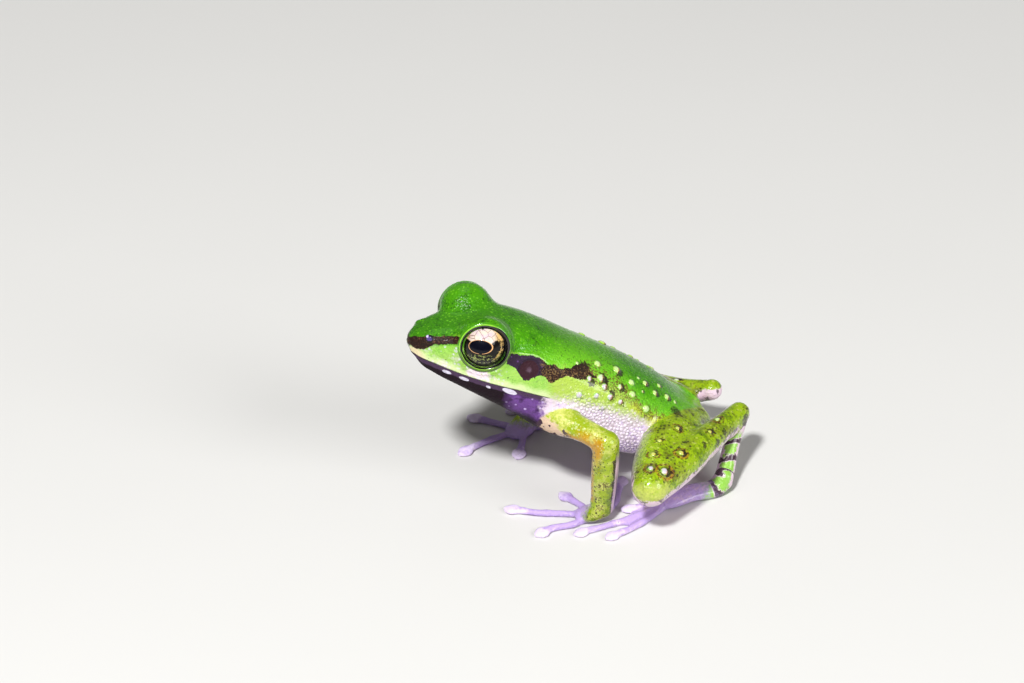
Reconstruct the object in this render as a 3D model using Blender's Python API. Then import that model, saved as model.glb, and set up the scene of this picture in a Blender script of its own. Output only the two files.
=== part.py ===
"""A green stream frog, sitting with its head up, as a still, life-size museum model in named parts.

The frog faces -X, its left side is -Y and the floor is Z = 0. Sizes below are in millimetres.
While the body is built, the tip of the snout is at X = 0. At the end all of it is moved, so that
the origin lies on the floor under the middle of the model's box.
"""

import math

import bmesh
import bpy
import numpy as np
from mathutils import Vector

MM = 0.001

# Clearances
GAP = 0.3
EYE_GAP = 0.25

# Fineness of the surfaces
HEAD_SIDES = 40
HEAD_STEP = 0.66
TORSO_SIDES = 32
TORSO_STEP = 1.4
LIMB_SIDES = 14
LIMB_STEP = 1.5
PALM_STEP = 0.9
SOLE_STEP = 1.2
DIGIT_SIDES = 8
DIGIT_STEP = 1.3
LID_SIDES = 28
LID_RINGS = 16
EYE_SIDES = 24
EYE_RINGS = 14
NOSTRIL_SIDES = 12
NOSTRIL_RINGS = 8
DRUM_SIDES = 24
MOUTH_STEPS = 20
WEB_STEPS = 5
CAP_ANGLES = (34, 62)
SHARP_ANGLE = 40

# Trunk and head in one. A row holds the top of a cross section as x and z, its underside as
# x and z, the half width, how far down the widest place lies, and how round it is above and
# below, where 1 is an ellipse and less is squarer.
TRUNK = (
    (0.25, 23.00, 0.42, 21.10, 1.15, 0.62, 0.80, 0.80),
    (0.90, 23.50, 1.20, 19.70, 2.10, 0.74, 0.66, 0.80),
    (2.20, 24.00, 3.00, 18.20, 3.05, 0.76, 0.56, 0.80),
    (4.20, 24.30, 5.60, 16.60, 4.30, 0.76, 0.54, 0.80),
    (6.40, 24.45, 8.00, 15.00, 5.20, 0.74, 0.56, 0.80),
    (8.80, 24.70, 10.40, 13.20, 5.85, 0.70, 0.62, 0.82),
    (11.60, 24.45, 12.60, 11.30, 6.30, 0.62, 0.70, 0.85),
    (14.60, 23.30, 14.40, 9.60, 6.60, 0.58, 0.78, 0.88),
    (17.90, 21.45, 15.90, 8.40, 6.75, 0.56, 0.82, 0.90),
    (21.60, 19.05, 18.20, 7.20, 6.90, 0.56, 0.84, 0.90),
    (25.60, 16.55, 21.60, 5.50, 7.10, 0.58, 0.84, 0.90),
    (29.60, 13.80, 25.40, 3.90, 7.00, 0.60, 0.84, 0.90),
    (32.90, 11.20, 29.30, 2.80, 6.30, 0.58, 0.86, 0.90),
    (35.60, 8.60, 33.00, 2.50, 5.00, 0.54, 0.90, 0.90),
    (37.50, 6.80, 36.00, 2.90, 3.60, 0.50, 0.95, 0.95),
    (38.60, 5.70, 38.00, 4.00, 2.00, 0.50, 1.00, 1.00),
)
SNOUT_POLE = (0.0, 0.0, 22.3)
RUMP_POLE = (39.0, 0.0, 4.85)

# Neck: a flat cut just behind the corners of the mouth
NECK_POINT = (16.7, 0.0, 15.2)
NECK_NORMAL = (0.98, 0.0, -0.196)

# Mouth: the line of the lips from the side, as x and z
MOUTH_LINE = (
    (-1.0, 21.98), (0.6, 21.38), (3.6, 20.22), (6.5, 19.15), (9.65, 18.00), (12.8, 16.90), (14.5, 16.20),
    (16.2, 15.45), (18.0, 14.80),
)
MOUTH_HALF_WIDTH = 12.0
MOUTH_BLOCK = 14.0
LIP_SWELL = 0.22
LIP_REACH = 0.75
LIP_FADE = 3.0

# Eyes and lids. The head leans a little, and the right upper lid hangs lower than the left. The
# lids swell out of the head as seen from a root that lies deeper in it than the eye.
EYE_CENTRE = {"left": (8.7, -4.05, 22.9), "right": (8.5, 4.3, 23.0)}
EYE_RADIUS = 2.75
LID_RADIUS = 3.42
LID_ROOT = {"left": (8.9, -2.6, 21.3), "right": (8.8, 2.8, 21.4)}
LID_BLEND = 1.3
LID_EDGE = 1.15
LID_REACH = 0.35
EYE_OPENING_AXIS = {"left": (-0.22, -0.94, 0.15), "right": (-0.06, 0.97, -0.15)}

# Nostrils, given for the left side, and the place of the pit from the middle of the swelling
NOSTRIL = (2.15, -2.0, 23.35)
NOSTRIL_PIT = (0.0, -0.42, 0.34)
NOSTRIL_RADIUS = 0.30
NOSTRIL_SWELL = 0.62
NOSTRIL_BLEND = 0.5

# Ear drums, given for the left side
DRUM_CENTRE = (13.8, -6.05, 19.5)
DRUM_AXIS = (0.05, -0.97, 0.24)
DRUM_RADIUS = 1.55
DRUM_DEPTH = 0.7
DRUM_CLEARANCE = 2.0

# Fold of skin along each side of the back: its height and width, its place as a share of the way
# down the cross section, and where along the body it comes in and fades out
FOLD_HEIGHT = 0.22
FOLD_WIDTH = 0.13
FOLD_PLACE = 0.23
FOLD_START = (13.0, 4.0)
FOLD_END = (35.0, 5.0)

# Arms. A row is x, y, z, half width and half thickness.
UPPER_ARM = {
    "left": (
        (15.4, -3.9, 12.5, 2.0, 2.1), (17.4, -6.6, 12.1, 2.0, 1.95),
        (19.8, -9.2, 11.8, 1.6, 1.45), (22.1, -11.9, 11.15, 1.5, 1.55),
    ),
    "right": (
        (15.4, 3.9, 12.5, 2.0, 2.1), (17.2, 6.8, 11.9, 2.0, 1.95),
        (18.8, 9.4, 11.5, 1.6, 1.45), (20.5, 11.7, 10.7, 1.55, 1.6),
    ),
}
FOREARM_SIZES = ((0.0, 1.60, 1.60), (0.3, 1.7, 1.7), (0.65, 1.6, 1.6), (1.0, 1.45, 1.4))
WRIST = {"left": (21.6, -12.0, 1.9), "right": (18.3, 9.8, 1.9)}

# Hand. The palm is given for the left hand and carried to the right with the wrist. Fingers are
# floor points from the palm to the tip, from the first finger to the fourth.
PALM = ((21.7, -12.0, 3.2, 1.5, 1.45), (21.2, -11.9, 1.5, 1.65, 1.25), (20.0, -11.4, 0.75, 1.75, 0.85),
        (18.9, -11.1, 0.55, 1.3, 0.6))
FINGERS = {
    "left": (
        ((21.9, -11.4), (24.0, -9.5), (25.2, -7.0), (26.4, -4.5)),
        ((20.6, -11.2), (20.0, -9.4), (19.0, -7.5), (18.2, -5.9)),
        ((20.0, -11.2), (17.7, -10.3), (13.9, -9.0), (10.8, -7.2)),
        ((20.0, -11.8), (17.6, -12.7), (15.2, -12.8), (13.0, -13.5)),
    ),
    "right": (
        ((18.6, 9.6), (20.8, 9.5), (22.9, 9.0), (24.9, 8.4)),
        ((17.2, 9.2), (16.6, 7.2), (15.9, 5.4), (15.1, 3.8)),
        ((16.6, 9.4), (13.6, 8.6), (10.9, 7.6), (8.4, 6.4)),
        ((16.6, 9.8), (14.7, 11.6), (13.1, 12.9), (11.6, 14.2)),
    ),
}
FINGER_HALF_WIDTH = 0.45
FINGER_HALF_THICKNESS = 0.42
FINGER_DISC = 0.98
PALM_ACROSS = (0.2, 0.0, 1.0)

# A digit's width from its tip back: places and shares of the disc, then of the shaft
DISC_PLACES = (0.3, 0.9, 1.6, 2.4)
DISC_NECK = 1.05
DISC_BACK = 0.97
DIGIT_LIFT = 0.86
DIGIT_FINENESS = 0.5

# Hind legs. A row is x, y, z, half width and half thickness.
THIGH = {
    "left": (
        (36.2, -2.3, 5.6, 2.4, 2.3), (33.6, -5.0, 6.5, 3.0, 2.8), (30.2, -9.4, 7.2, 3.1, 2.9),
        (27.6, -13.8, 7.1, 2.75, 2.6), (26.4, -16.5, 6.8, 2.4, 2.35),
    ),
    "right": (
        (36.2, 2.3, 5.6, 2.4, 2.3), (33.4, 5.2, 5.5, 3.0, 2.8), (29.8, 9.6, 4.9, 3.1, 2.7),
        (27.2, 13.6, 4.0, 2.7, 2.4), (26.0, 16.0, 3.3, 2.3, 2.2),
    ),
}
SHANK = {
    "left": (
        (26.4, -16.5, 6.8, 2.3, 2.3), (30.4, -13.8, 7.2, 2.35, 2.3), (34.4, -10.3, 7.3, 2.15, 2.1),
        (38.5, -6.8, 7.3, 1.65, 1.65), (41.7, -4.0, 7.3, 1.4, 1.4),
    ),
    "right": (
        (26.0, 16.0, 3.3, 2.2, 2.2), (30.0, 13.0, 3.5, 2.3, 2.2), (33.9, 9.4, 4.3, 1.95, 1.9),
        (37.6, 6.0, 5.25, 1.45, 1.45), (40.5, 3.4, 6.4, 1.25, 1.25),
    ),
}
ANKLE = {"left": (37.9, -9.9, 1.35), "right": (36.9, 9.6, 1.35)}
TARSUS_SIZES = ((0.0, 1.35, 1.35), (0.45, 1.05, 1.1), (1.0, 1.25, 1.05))

# Foot, given for the left foot and carried to the right with the ankle. Toes are floor points.
SOLE = ((38.1, -9.7, 2.0, 1.25, 1.1), (37.4, -10.0, 1.1, 1.35, 1.05), (33.6, -10.4, 0.8, 1.5, 0.85),
        (29.6, -10.9, 0.6, 1.7, 0.65), (28.6, -11.0, 0.5, 1.3, 0.5))
TOES = (
    ((32.6, -9.6), (31.6, -8.9), (30.9, -8.4), (29.9, -7.9)),
    ((30.6, -10.0), (29.4, -9.6), (28.2, -9.2), (27.0, -8.7)),
    ((29.6, -10.7), (27.9, -11.1), (26.3, -11.2), (24.8, -11.0)),
    ((29.4, -11.4), (25.6, -13.0), (21.6, -14.0), (17.7, -14.6)),
    ((29.8, -11.8), (26.8, -14.0), (24.0, -15.5), (21.2, -16.4)),
)
TOE_HALF_WIDTH = 0.45
TOE_HALF_THICKNESS = 0.40
TOE_DISC = 0.88
WEB_REACH = 0.78
WEB_NOTCH = 0.55
WEB_THICKNESS = 0.5

SKIN_ROUGHNESS = 0.35
EYE_ROUGHNESS = 0.08
COLOURS = {
    "green": (0.07, 0.42, 0.01), "throat": (0.10, 0.02, 0.08),
    "limb": (0.30, 0.50, 0.02), "digit": (0.62, 0.45, 0.66), "eye": (0.03, 0.02, 0.03),
    "drum": (0.10, 0.04, 0.07),
}


def clear_scene():
    """Remove what the file opens with."""
    for obj in list(bpy.data.objects):
        bpy.data.objects.remove(obj, do_unlink=True)


def new_collection(name):
    """A collection linked to the scene."""
    collection = bpy.data.collections.new(name)
    bpy.context.scene.collection.children.link(collection)
    return collection


def skin_material(name, roughness):
    """A plain finish for one object, in one of the frog's colours."""
    material = bpy.data.materials.new(name)
    material.use_nodes = True
    shader = material.node_tree.nodes["Principled BSDF"]
    shader.inputs["Base Color"].default_value = (*COLOURS[name.split("_")[0]], 1.0)
    shader.inputs["Roughness"].default_value = roughness
    shader.inputs["Metallic"].default_value = 0.0
    return material


def mirrored(point):
    """The same place on the other side of the body."""
    return (point[0], -point[1], *point[2:])


def sided(point, side):
    """A place given for the left, on the side that is asked for."""
    return point if side == "left" else mirrored(point)


def unit(vector):
    """The vector at length one."""
    vector = np.asarray(vector, float)
    return vector / np.linalg.norm(vector)


def flow(rows, step):
    """Rows read at even steps from the smooth curve that passes through the given rows."""
    rows = np.asarray(rows, float)
    along = np.concatenate(([0.0], np.cumsum(np.linalg.norm(np.diff(rows[:, :3], axis=0), axis=1))))
    slopes = np.gradient(rows, along, axis=0)
    count = max(2, round(along[-1] / step) + 1)
    at = np.linspace(0.0, along[-1], count)
    piece = np.clip(np.searchsorted(along, at, side="right") - 1, 0, len(along) - 2)
    length = (along[piece + 1] - along[piece])[:, None]
    t = (at[:, None] - along[piece][:, None]) / length
    start, end = rows[piece], rows[piece + 1]
    return ((2 * t**3 - 3 * t**2 + 1) * start + (t**3 - 2 * t**2 + t) * length * slopes[piece]
            + (3 * t**2 - 2 * t**3) * end + (t**3 - t**2) * length * slopes[piece + 1])


def closed_tube(rings, first, last):
    """A closed mesh from rings of points, drawn to a point at each end."""
    bm = bmesh.new()
    loops = [[bm.verts.new(Vector(p) * MM) for p in ring] for ring in rings]
    sides = len(loops[0])
    poles = [bm.verts.new(Vector(p) * MM) for p in (first, last)]
    for low, high in zip(loops, loops[1:]):
        for j in range(sides):
            k = (j + 1) % sides
            bm.faces.new((low[j], low[k], high[k], high[j]))
    for j in range(sides):
        k = (j + 1) % sides
        bm.faces.new((poles[0], loops[0][k], loops[0][j]))
        bm.faces.new((poles[1], loops[-1][j], loops[-1][k]))
    bmesh.ops.recalc_face_normals(bm, faces=bm.faces)
    mesh = bpy.data.meshes.new("tube")
    bm.to_mesh(mesh)
    bm.free()
    return mesh


def mouth_height(x):
    """Height of the line of the lips at a place along the head."""
    xs, zs = zip(*MOUTH_LINE)
    return np.interp(x, xs, zs)


def bulge(points, centre, radius, blend, root):
    """Push points away from a root inside a ball and out to it, softly where the ball ends."""
    root = np.asarray(root, float)
    offset = points - root
    distance = np.linalg.norm(offset, axis=-1, keepdims=True)
    middle = root - np.asarray(centre, float)
    ahead = (offset * middle).sum(-1, keepdims=True) / distance
    shell = np.sqrt(ahead**2 - middle @ middle + radius**2) - ahead
    soft = np.clip(blend - np.abs(distance - shell), 0.0, None) ** 2 / (4.0 * blend)
    return root + offset * (np.maximum(distance, shell) + soft) / distance


def trunk_rings(sides, step, grow=0.0):
    """Cross sections of head and trunk, with lids, nostrils, lips and side folds raised in them."""
    table = flow([(t[0], t[1], 0.0, *t) for t in TRUNK], step)[:, 3:]
    turn = np.arange(sides) * 2.0 * math.pi / sides
    rings = []
    for top_x, top_z, low_x, low_z, half, widest, above, below in table:
        c, s = np.cos(turn), np.sin(turn)
        power = np.where(s >= 0, above, below)
        across = (half + grow) * np.sign(c) * np.abs(c) ** power
        rise = np.abs(s) ** power
        down = np.where(s >= 0, widest * (1 - rise), widest + (1 - widest) * rise)
        long = unit((low_x - top_x, low_z - top_z)) * grow
        top = np.array((top_x - long[0], top_z - long[1]))
        low = np.array((low_x + long[0], low_z + long[1]))
        across = across + fold_swell(top_x, down) * np.sign(c)
        ring = np.stack((top[0] + (low[0] - top[0]) * down, across,
                         top[1] + (low[1] - top[1]) * down), axis=1)
        rings.append(ring)
    rings = np.array(rings)
    for side in ("left", "right"):
        nostril = sided(NOSTRIL, side)
        rings = bulge(rings, EYE_CENTRE[side], LID_RADIUS, LID_BLEND, LID_ROOT[side])
        rings = bulge(rings, nostril, NOSTRIL_SWELL, NOSTRIL_BLEND, nostril)
    return lip_swell(rings)


def fold_swell(x, down):
    """How far the fold along the side of the back stands out at a height on the section."""
    start, rise = FOLD_START
    end, fall = FOLD_END
    share = np.clip((x - start) / rise, 0.0, 1.0) * np.clip((end - x) / fall, 0.0, 1.0)
    return FOLD_HEIGHT * share * np.exp(-(((down - FOLD_PLACE) / FOLD_WIDTH) ** 2))


def lip_swell(rings):
    """Swell the lips along the line of the mouth, up to its corners."""
    above = np.abs(rings[..., 2] - mouth_height(rings[..., 0]))
    close = np.clip(1 - above / LIP_REACH, 0, 1)
    ahead = np.clip((NECK_POINT[0] - rings[..., 0]) / LIP_FADE, 0, 1)
    out = LIP_SWELL * close ** 2 * (3 - 2 * close) * ahead
    rings = rings.copy()
    rings[..., 1] += out * np.clip(rings[..., 1], -1, 1)
    rings[..., 0] -= out * np.clip(1 - rings[..., 0] / LIP_FADE, 0, 1)
    return rings


def trunk_mesh(sides, step, grow=0.0):
    """Head and trunk as one closed surface."""
    first = (SNOUT_POLE[0] - grow, 0.0, SNOUT_POLE[2])
    last = (RUMP_POLE[0] + grow, 0.0, RUMP_POLE[2])
    return closed_tube(trunk_rings(sides, step, grow), first, last)


def limb_mesh(rows, sides=LIMB_SIDES, step=LIMB_STEP, across=(0.0, 0.0, 1.0), floor=False):
    """A limb of oval section through rows of x, y, z, half width and half thickness.

    Its width lies square to the direction and to the given vector, and both ends are rounded.
    On the floor its underside is pressed flat.
    """
    rows = flow(rows, step)
    path = rows[:, :3]
    along = np.gradient(path, axis=0)
    turn = np.arange(sides) * 2.0 * math.pi / sides
    rings = []

    def ring(centre, direction, half_width, half_height):
        wide = unit(np.cross(direction, across))
        high = unit(np.cross(wide, direction))
        return (centre + np.cos(turn)[:, None] * half_width * wide
                + np.sin(turn)[:, None] * half_height * high)

    ahead, behind = unit(along[0]), unit(along[-1])
    start, end = rows[0], rows[-1]
    for angle in reversed(CAP_ANGLES):
        shrink, reach = math.cos(math.radians(angle)), math.sin(math.radians(angle))
        depth = min(start[3], start[4]) * reach
        rings.append(ring(path[0] - ahead * depth, ahead, start[3] * shrink, start[4] * shrink))
    for place, direction, row in zip(path, along, rows):
        rings.append(ring(place, unit(direction), row[3], row[4]))
    for angle in CAP_ANGLES:
        shrink, reach = math.cos(math.radians(angle)), math.sin(math.radians(angle))
        depth = min(end[3], end[4]) * reach
        rings.append(ring(path[-1] + behind * depth, behind, end[3] * shrink, end[4] * shrink))
    rings = np.array(rings)
    first = path[0] - ahead * min(start[3], start[4])
    last = path[-1] + behind * min(end[3], end[4])
    if floor:
        rings[..., 2] = np.maximum(rings[..., 2], 0.0)
    return closed_tube(rings, first, last)


def digit_rows(points, half_width, half_thickness, disc):
    """Rows for a finger or toe along floor points, ending in a flat round disc."""
    path = flow([(x, y, 0.0) for x, y in points], DIGIT_FINENESS)[:, :2]
    along = np.concatenate(([0.0], np.cumsum(np.linalg.norm(np.diff(path, axis=0), axis=1))))
    widths = (disc, disc * DISC_BACK, half_width * DISC_NECK, half_width)
    rows = []
    for (x, y), to_tip in zip(path, along[-1] - along):
        spread = np.interp(to_tip, DISC_PLACES, widths)
        rows.append((x, y, half_thickness * DIGIT_LIFT, spread, half_thickness))
    return rows


def obj_from(mesh, name, collection):
    """An object that carries a mesh, linked to a collection."""
    mesh.name = name
    obj = bpy.data.objects.new(name, mesh)
    collection.objects.link(obj)
    return obj


def ball_mesh(centre, radius, segments, rings, axis=(0, 0, 1)):
    """A round ball with its poles along the given axis."""
    bm = bmesh.new()
    bmesh.ops.create_uvsphere(bm, u_segments=segments, v_segments=rings, radius=radius * MM)
    turn = Vector((0, 0, 1)).rotation_difference(Vector(axis)).to_matrix()
    bmesh.ops.rotate(bm, cent=(0, 0, 0), matrix=turn, verts=bm.verts)
    bmesh.ops.translate(bm, vec=Vector(centre) * MM, verts=bm.verts)
    mesh = bpy.data.meshes.new("ball")
    bm.to_mesh(mesh)
    bm.free()
    return mesh


def disc_mesh(centre, radius, depth, axis):
    """A round disc or plug, with its axis as given and its outer face centred on the centre."""
    bm = bmesh.new()
    bmesh.ops.create_cone(bm, cap_ends=True, segments=DRUM_SIDES, radius1=radius * MM,
                          radius2=radius * MM, depth=depth * MM)
    bmesh.ops.translate(bm, vec=(0, 0, -depth * MM / 2), verts=bm.verts)
    turn = Vector((0, 0, 1)).rotation_difference(Vector(axis)).to_matrix()
    bmesh.ops.rotate(bm, cent=(0, 0, 0), matrix=turn, verts=bm.verts)
    bmesh.ops.translate(bm, vec=Vector(centre) * MM, verts=bm.verts)
    mesh = bpy.data.meshes.new("disc")
    bm.to_mesh(mesh)
    bm.free()
    return mesh


def clip(mesh, point, normal):
    """Keep what lies behind a plane and close the cut."""
    bm = bmesh.new()
    bm.from_mesh(mesh)
    bmesh.ops.bisect_plane(bm, geom=bm.verts[:] + bm.edges[:] + bm.faces[:], dist=1e-7,
                           plane_co=Vector(point) * MM, plane_no=Vector(normal), clear_outer=True)
    rim = [edge for edge in bm.edges if edge.is_boundary]
    if rim:
        bmesh.ops.holes_fill(bm, edges=rim)
    bmesh.ops.recalc_face_normals(bm, faces=bm.faces)
    bm.to_mesh(mesh)
    bm.free()
    return mesh


def largest_surface(mesh):
    """Keep only the largest closed surface of a mesh."""
    bm = bmesh.new()
    bm.from_mesh(mesh)
    bm.verts.ensure_lookup_table()
    waiting = set(bm.verts)
    groups = []
    while waiting:
        stack = [waiting.pop()]
        group = []
        while stack:
            vert = stack.pop()
            group.append(vert)
            for edge in vert.link_edges:
                other = edge.other_vert(vert)
                if other in waiting:
                    waiting.remove(other)
                    stack.append(other)
        groups.append(group)
    groups.sort(key=len)
    for group in groups[:-1]:
        bmesh.ops.delete(bm, geom=group, context="VERTS")
    bm.to_mesh(mesh)
    bm.free()


def settle(obj):
    """Apply an object's modifiers to its mesh."""
    depsgraph = bpy.context.evaluated_depsgraph_get()
    mesh = bpy.data.meshes.new_from_object(obj.evaluated_get(depsgraph))
    old = obj.data
    obj.modifiers.clear()
    obj.data = mesh
    bpy.data.meshes.remove(old)
    mesh.name = obj.name


def cut(obj, cutter_meshes, cutters):
    """Take cutters out of an object one after another."""
    for index, mesh in enumerate(cutter_meshes):
        cutter = obj_from(mesh, f"{obj.name}_cutter_{index}", cutters)
        cutter.hide_render = True
        cutter.display_type = "WIRE"
        boolean = obj.modifiers.new("cut", "BOOLEAN")
        boolean.operation = "DIFFERENCE"
        boolean.solver = "EXACT"
        boolean.object = cutter
        settle(obj)
    largest_surface(obj.data)


def join(obj, meshes):
    """Join further closed meshes to an object with one union."""
    pieces = bpy.data.collections.new(obj.name + "_pieces")
    bpy.context.scene.collection.children.link(pieces)
    for index, mesh in enumerate(meshes):
        obj_from(mesh, f"{obj.name}_piece_{index}", pieces)
    boolean = obj.modifiers.new("join", "BOOLEAN")
    boolean.operation = "UNION"
    boolean.solver = "EXACT"
    boolean.operand_type = "COLLECTION"
    boolean.collection = pieces
    settle(obj)
    for piece in list(pieces.objects):
        bpy.data.objects.remove(piece, do_unlink=True)
    bpy.data.collections.remove(pieces)
    largest_surface(obj.data)


def fold_plane(before, joint, after):
    """Normal of the plane through a joint that parts the limb before it from the limb after it."""
    joint = np.asarray(joint[:3], float)
    return unit(unit(np.asarray(after[:3]) - joint) - unit(np.asarray(before[:3]) - joint))


def clip_at(mesh, joint, normal, keep):
    """Clip a limb at a joint's plane, leaving half the gap. keep is -1 for the near side, 1 for the far."""
    joint = np.asarray(joint[:3], float)
    return clip(mesh, joint + keep * normal * GAP / 2, Vector(-keep * normal))


def between(start, end, sizes):
    """Rows of a straight limb between two points, with sizes at shares of its length."""
    start, end = np.asarray(start[:3], float), np.asarray(end[:3], float)
    return [(*(start + (end - start) * share), wide, thick) for share, wide, thick in sizes]


def mouth_block(rise, cutters):
    """All above (rise 1) or below (rise -1) the line of the mouth, from half the gap short of it."""
    xs = np.linspace(MOUTH_LINE[0][0], MOUTH_LINE[-1][0], MOUTH_STEPS)
    zs = mouth_height(xs)
    near = [(x, z - rise * GAP / 2) for x, z in zip(xs, zs)]
    far = [(x, z + rise * MOUTH_BLOCK) for x, z in zip(xs, zs)]
    curve = bpy.data.curves.new("mouth_block", "CURVE")
    curve.dimensions = "2D"
    curve.fill_mode = "BOTH"
    curve.extrude = MOUTH_HALF_WIDTH * MM
    spline = curve.splines.new("POLY")
    spline.points.add(len(near) + len(far) - 1)
    for point, (x, z) in zip(spline.points, near + far[::-1]):
        point.co = (x * MM, z * MM, 0.0, 1.0)
    spline.use_cyclic_u = True
    guide = bpy.data.objects.new("mouth_block", curve)
    cutters.objects.link(guide)
    guide.rotation_euler = (math.pi / 2, 0.0, 0.0)
    bpy.context.view_layer.update()
    mesh = bpy.data.meshes.new_from_object(guide.evaluated_get(bpy.context.evaluated_depsgraph_get()))
    mesh.transform(guide.matrix_world)
    bpy.data.objects.remove(guide, do_unlink=True)
    bm = bmesh.new()
    bm.from_mesh(mesh)
    bmesh.ops.remove_doubles(bm, verts=bm.verts, dist=1e-6)
    bm.to_mesh(mesh)
    bm.free()
    return mesh


def make_trunk(parts, cutters):
    """Torso, head and lower jaw from one surface, parted at the neck and along the mouth."""
    normal = unit(NECK_NORMAL)
    rear = clip_at(trunk_mesh(TORSO_SIDES, TORSO_STEP), NECK_POINT, normal, 1)
    front = clip_at(trunk_mesh(HEAD_SIDES, HEAD_STEP), NECK_POINT, normal, -1)
    obj_from(rear, "torso", parts)
    jaw = obj_from(front.copy(), "lower_jaw", parts)
    head = obj_from(front, "head", parts)
    cut(head, [mouth_block(-1, cutters)], cutters)
    cut(jaw, [mouth_block(1, cutters)], cutters)
    return head


def make_face(parts, head, cutters):
    """Eye sockets, lids, nostrils and ear drums, with the eyes and drums as parts of their own."""
    for side in ("left", "right"):
        centre = np.asarray(EYE_CENTRE[side])
        axis = unit(EYE_OPENING_AXIS[side])
        opening = ball_mesh(centre, LID_RADIUS + LID_REACH, LID_SIDES, LID_RINGS, axis)
        clip(opening, centre + axis * LID_EDGE, Vector(-axis))
        socket = ball_mesh(centre, EYE_RADIUS + EYE_GAP, EYE_SIDES, EYE_RINGS, axis)
        nostril = np.asarray(NOSTRIL) + np.asarray(NOSTRIL_PIT)
        pit = ball_mesh(sided(tuple(nostril), side), NOSTRIL_RADIUS, NOSTRIL_SIDES, NOSTRIL_RINGS)
        drum = np.asarray(sided(DRUM_CENTRE, side))
        drum_axis = unit(sided(DRUM_AXIS, side))
        recess = disc_mesh(drum + drum_axis * DRUM_CLEARANCE, DRUM_RADIUS + GAP,
                           DRUM_CLEARANCE + DRUM_DEPTH + GAP, drum_axis)
        cut(head, [opening, socket, pit, recess], cutters)
        obj_from(ball_mesh(centre, EYE_RADIUS, EYE_SIDES, EYE_RINGS, axis), f"eye_{side}", parts)
        obj_from(disc_mesh(drum, DRUM_RADIUS, DRUM_DEPTH, drum_axis), f"tympanum_{side}", parts)


def carried(rows, joint, side):
    """Left rows as they are, or rows for the right side, mirrored and carried along with the joint."""
    if side == "left":
        return rows
    shift_x = joint["right"][0] - joint["left"][0]
    shift_y = joint["right"][1] + joint["left"][1]
    return [(row[0] + shift_x, shift_y - row[1], *row[2:]) for row in rows]


def make_arm(side, parts, cutters):
    """Upper arm, forearm and hand of one side."""
    rows = UPPER_ARM[side]
    shoulder, elbow, wrist = rows[1], rows[-1], WRIST[side]
    palm = carried(PALM, WRIST, side)
    at_elbow = fold_plane(shoulder, elbow, wrist)
    at_wrist = fold_plane(elbow, wrist, palm[-1])
    upper = obj_from(clip_at(limb_mesh(rows), elbow, at_elbow, -1), f"upper_arm_{side}", parts)
    cut(upper, [trunk_mesh(TORSO_SIDES, TORSO_STEP, GAP)], cutters)
    forearm = limb_mesh(between(elbow, wrist, FOREARM_SIZES), across=(1.0, 0.0, 0.0))
    clip_at(forearm, elbow, at_elbow, 1)
    clip_at(forearm, wrist, at_wrist, -1)
    obj_from(forearm, f"forearm_{side}", parts)
    palm_mesh = limb_mesh(palm, step=PALM_STEP, across=PALM_ACROSS, floor=True)
    hand = obj_from(palm_mesh, f"hand_{side}", parts)
    rows = [digit_rows(f, FINGER_HALF_WIDTH, FINGER_HALF_THICKNESS, FINGER_DISC) for f in FINGERS[side]]
    join(hand, [limb_mesh(r, DIGIT_SIDES, DIGIT_STEP, floor=True) for r in rows])
    clip_at(hand.data, wrist, at_wrist, 1)


def web_mesh(toe, other):
    """The web between two toes, as a thin closed sheet on the floor with a hollow front edge."""
    near, far = (flow([(x, y, 0.0) for x, y in points], 0.3)[:, :2] for points in (toe, other))
    bm = bmesh.new()
    layers = []
    for z in (WEB_THICKNESS, 0.0):
        grid = []
        for i in range(WEB_STEPS):
            share = i / (WEB_STEPS - 1)
            row = []
            for across in (0.0, 0.5, 1.0):
                reach = (WEB_NOTCH if across == 0.5 else WEB_REACH) * share
                a = near[round(reach * (len(near) - 1))]
                b = far[round(reach * (len(far) - 1))]
                row.append(bm.verts.new(Vector((*(a + (b - a) * across), z)) * MM))
            grid.append(row)
        layers.append(grid)
    top, low = layers
    for i in range(WEB_STEPS - 1):
        for j in range(2):
            bm.faces.new((top[i][j], top[i + 1][j], top[i + 1][j + 1], top[i][j + 1]))
            bm.faces.new((low[i][j], low[i][j + 1], low[i + 1][j + 1], low[i + 1][j]))
        bm.faces.new((top[i][0], low[i][0], low[i + 1][0], top[i + 1][0]))
        bm.faces.new((top[i][2], top[i + 1][2], low[i + 1][2], low[i][2]))
    for j in range(2):
        bm.faces.new((top[0][j], top[0][j + 1], low[0][j + 1], low[0][j]))
        bm.faces.new((top[-1][j], low[-1][j], low[-1][j + 1], top[-1][j + 1]))
    bmesh.ops.recalc_face_normals(bm, faces=bm.faces)
    mesh = bpy.data.meshes.new("web")
    bm.to_mesh(mesh)
    bm.free()
    return mesh


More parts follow.
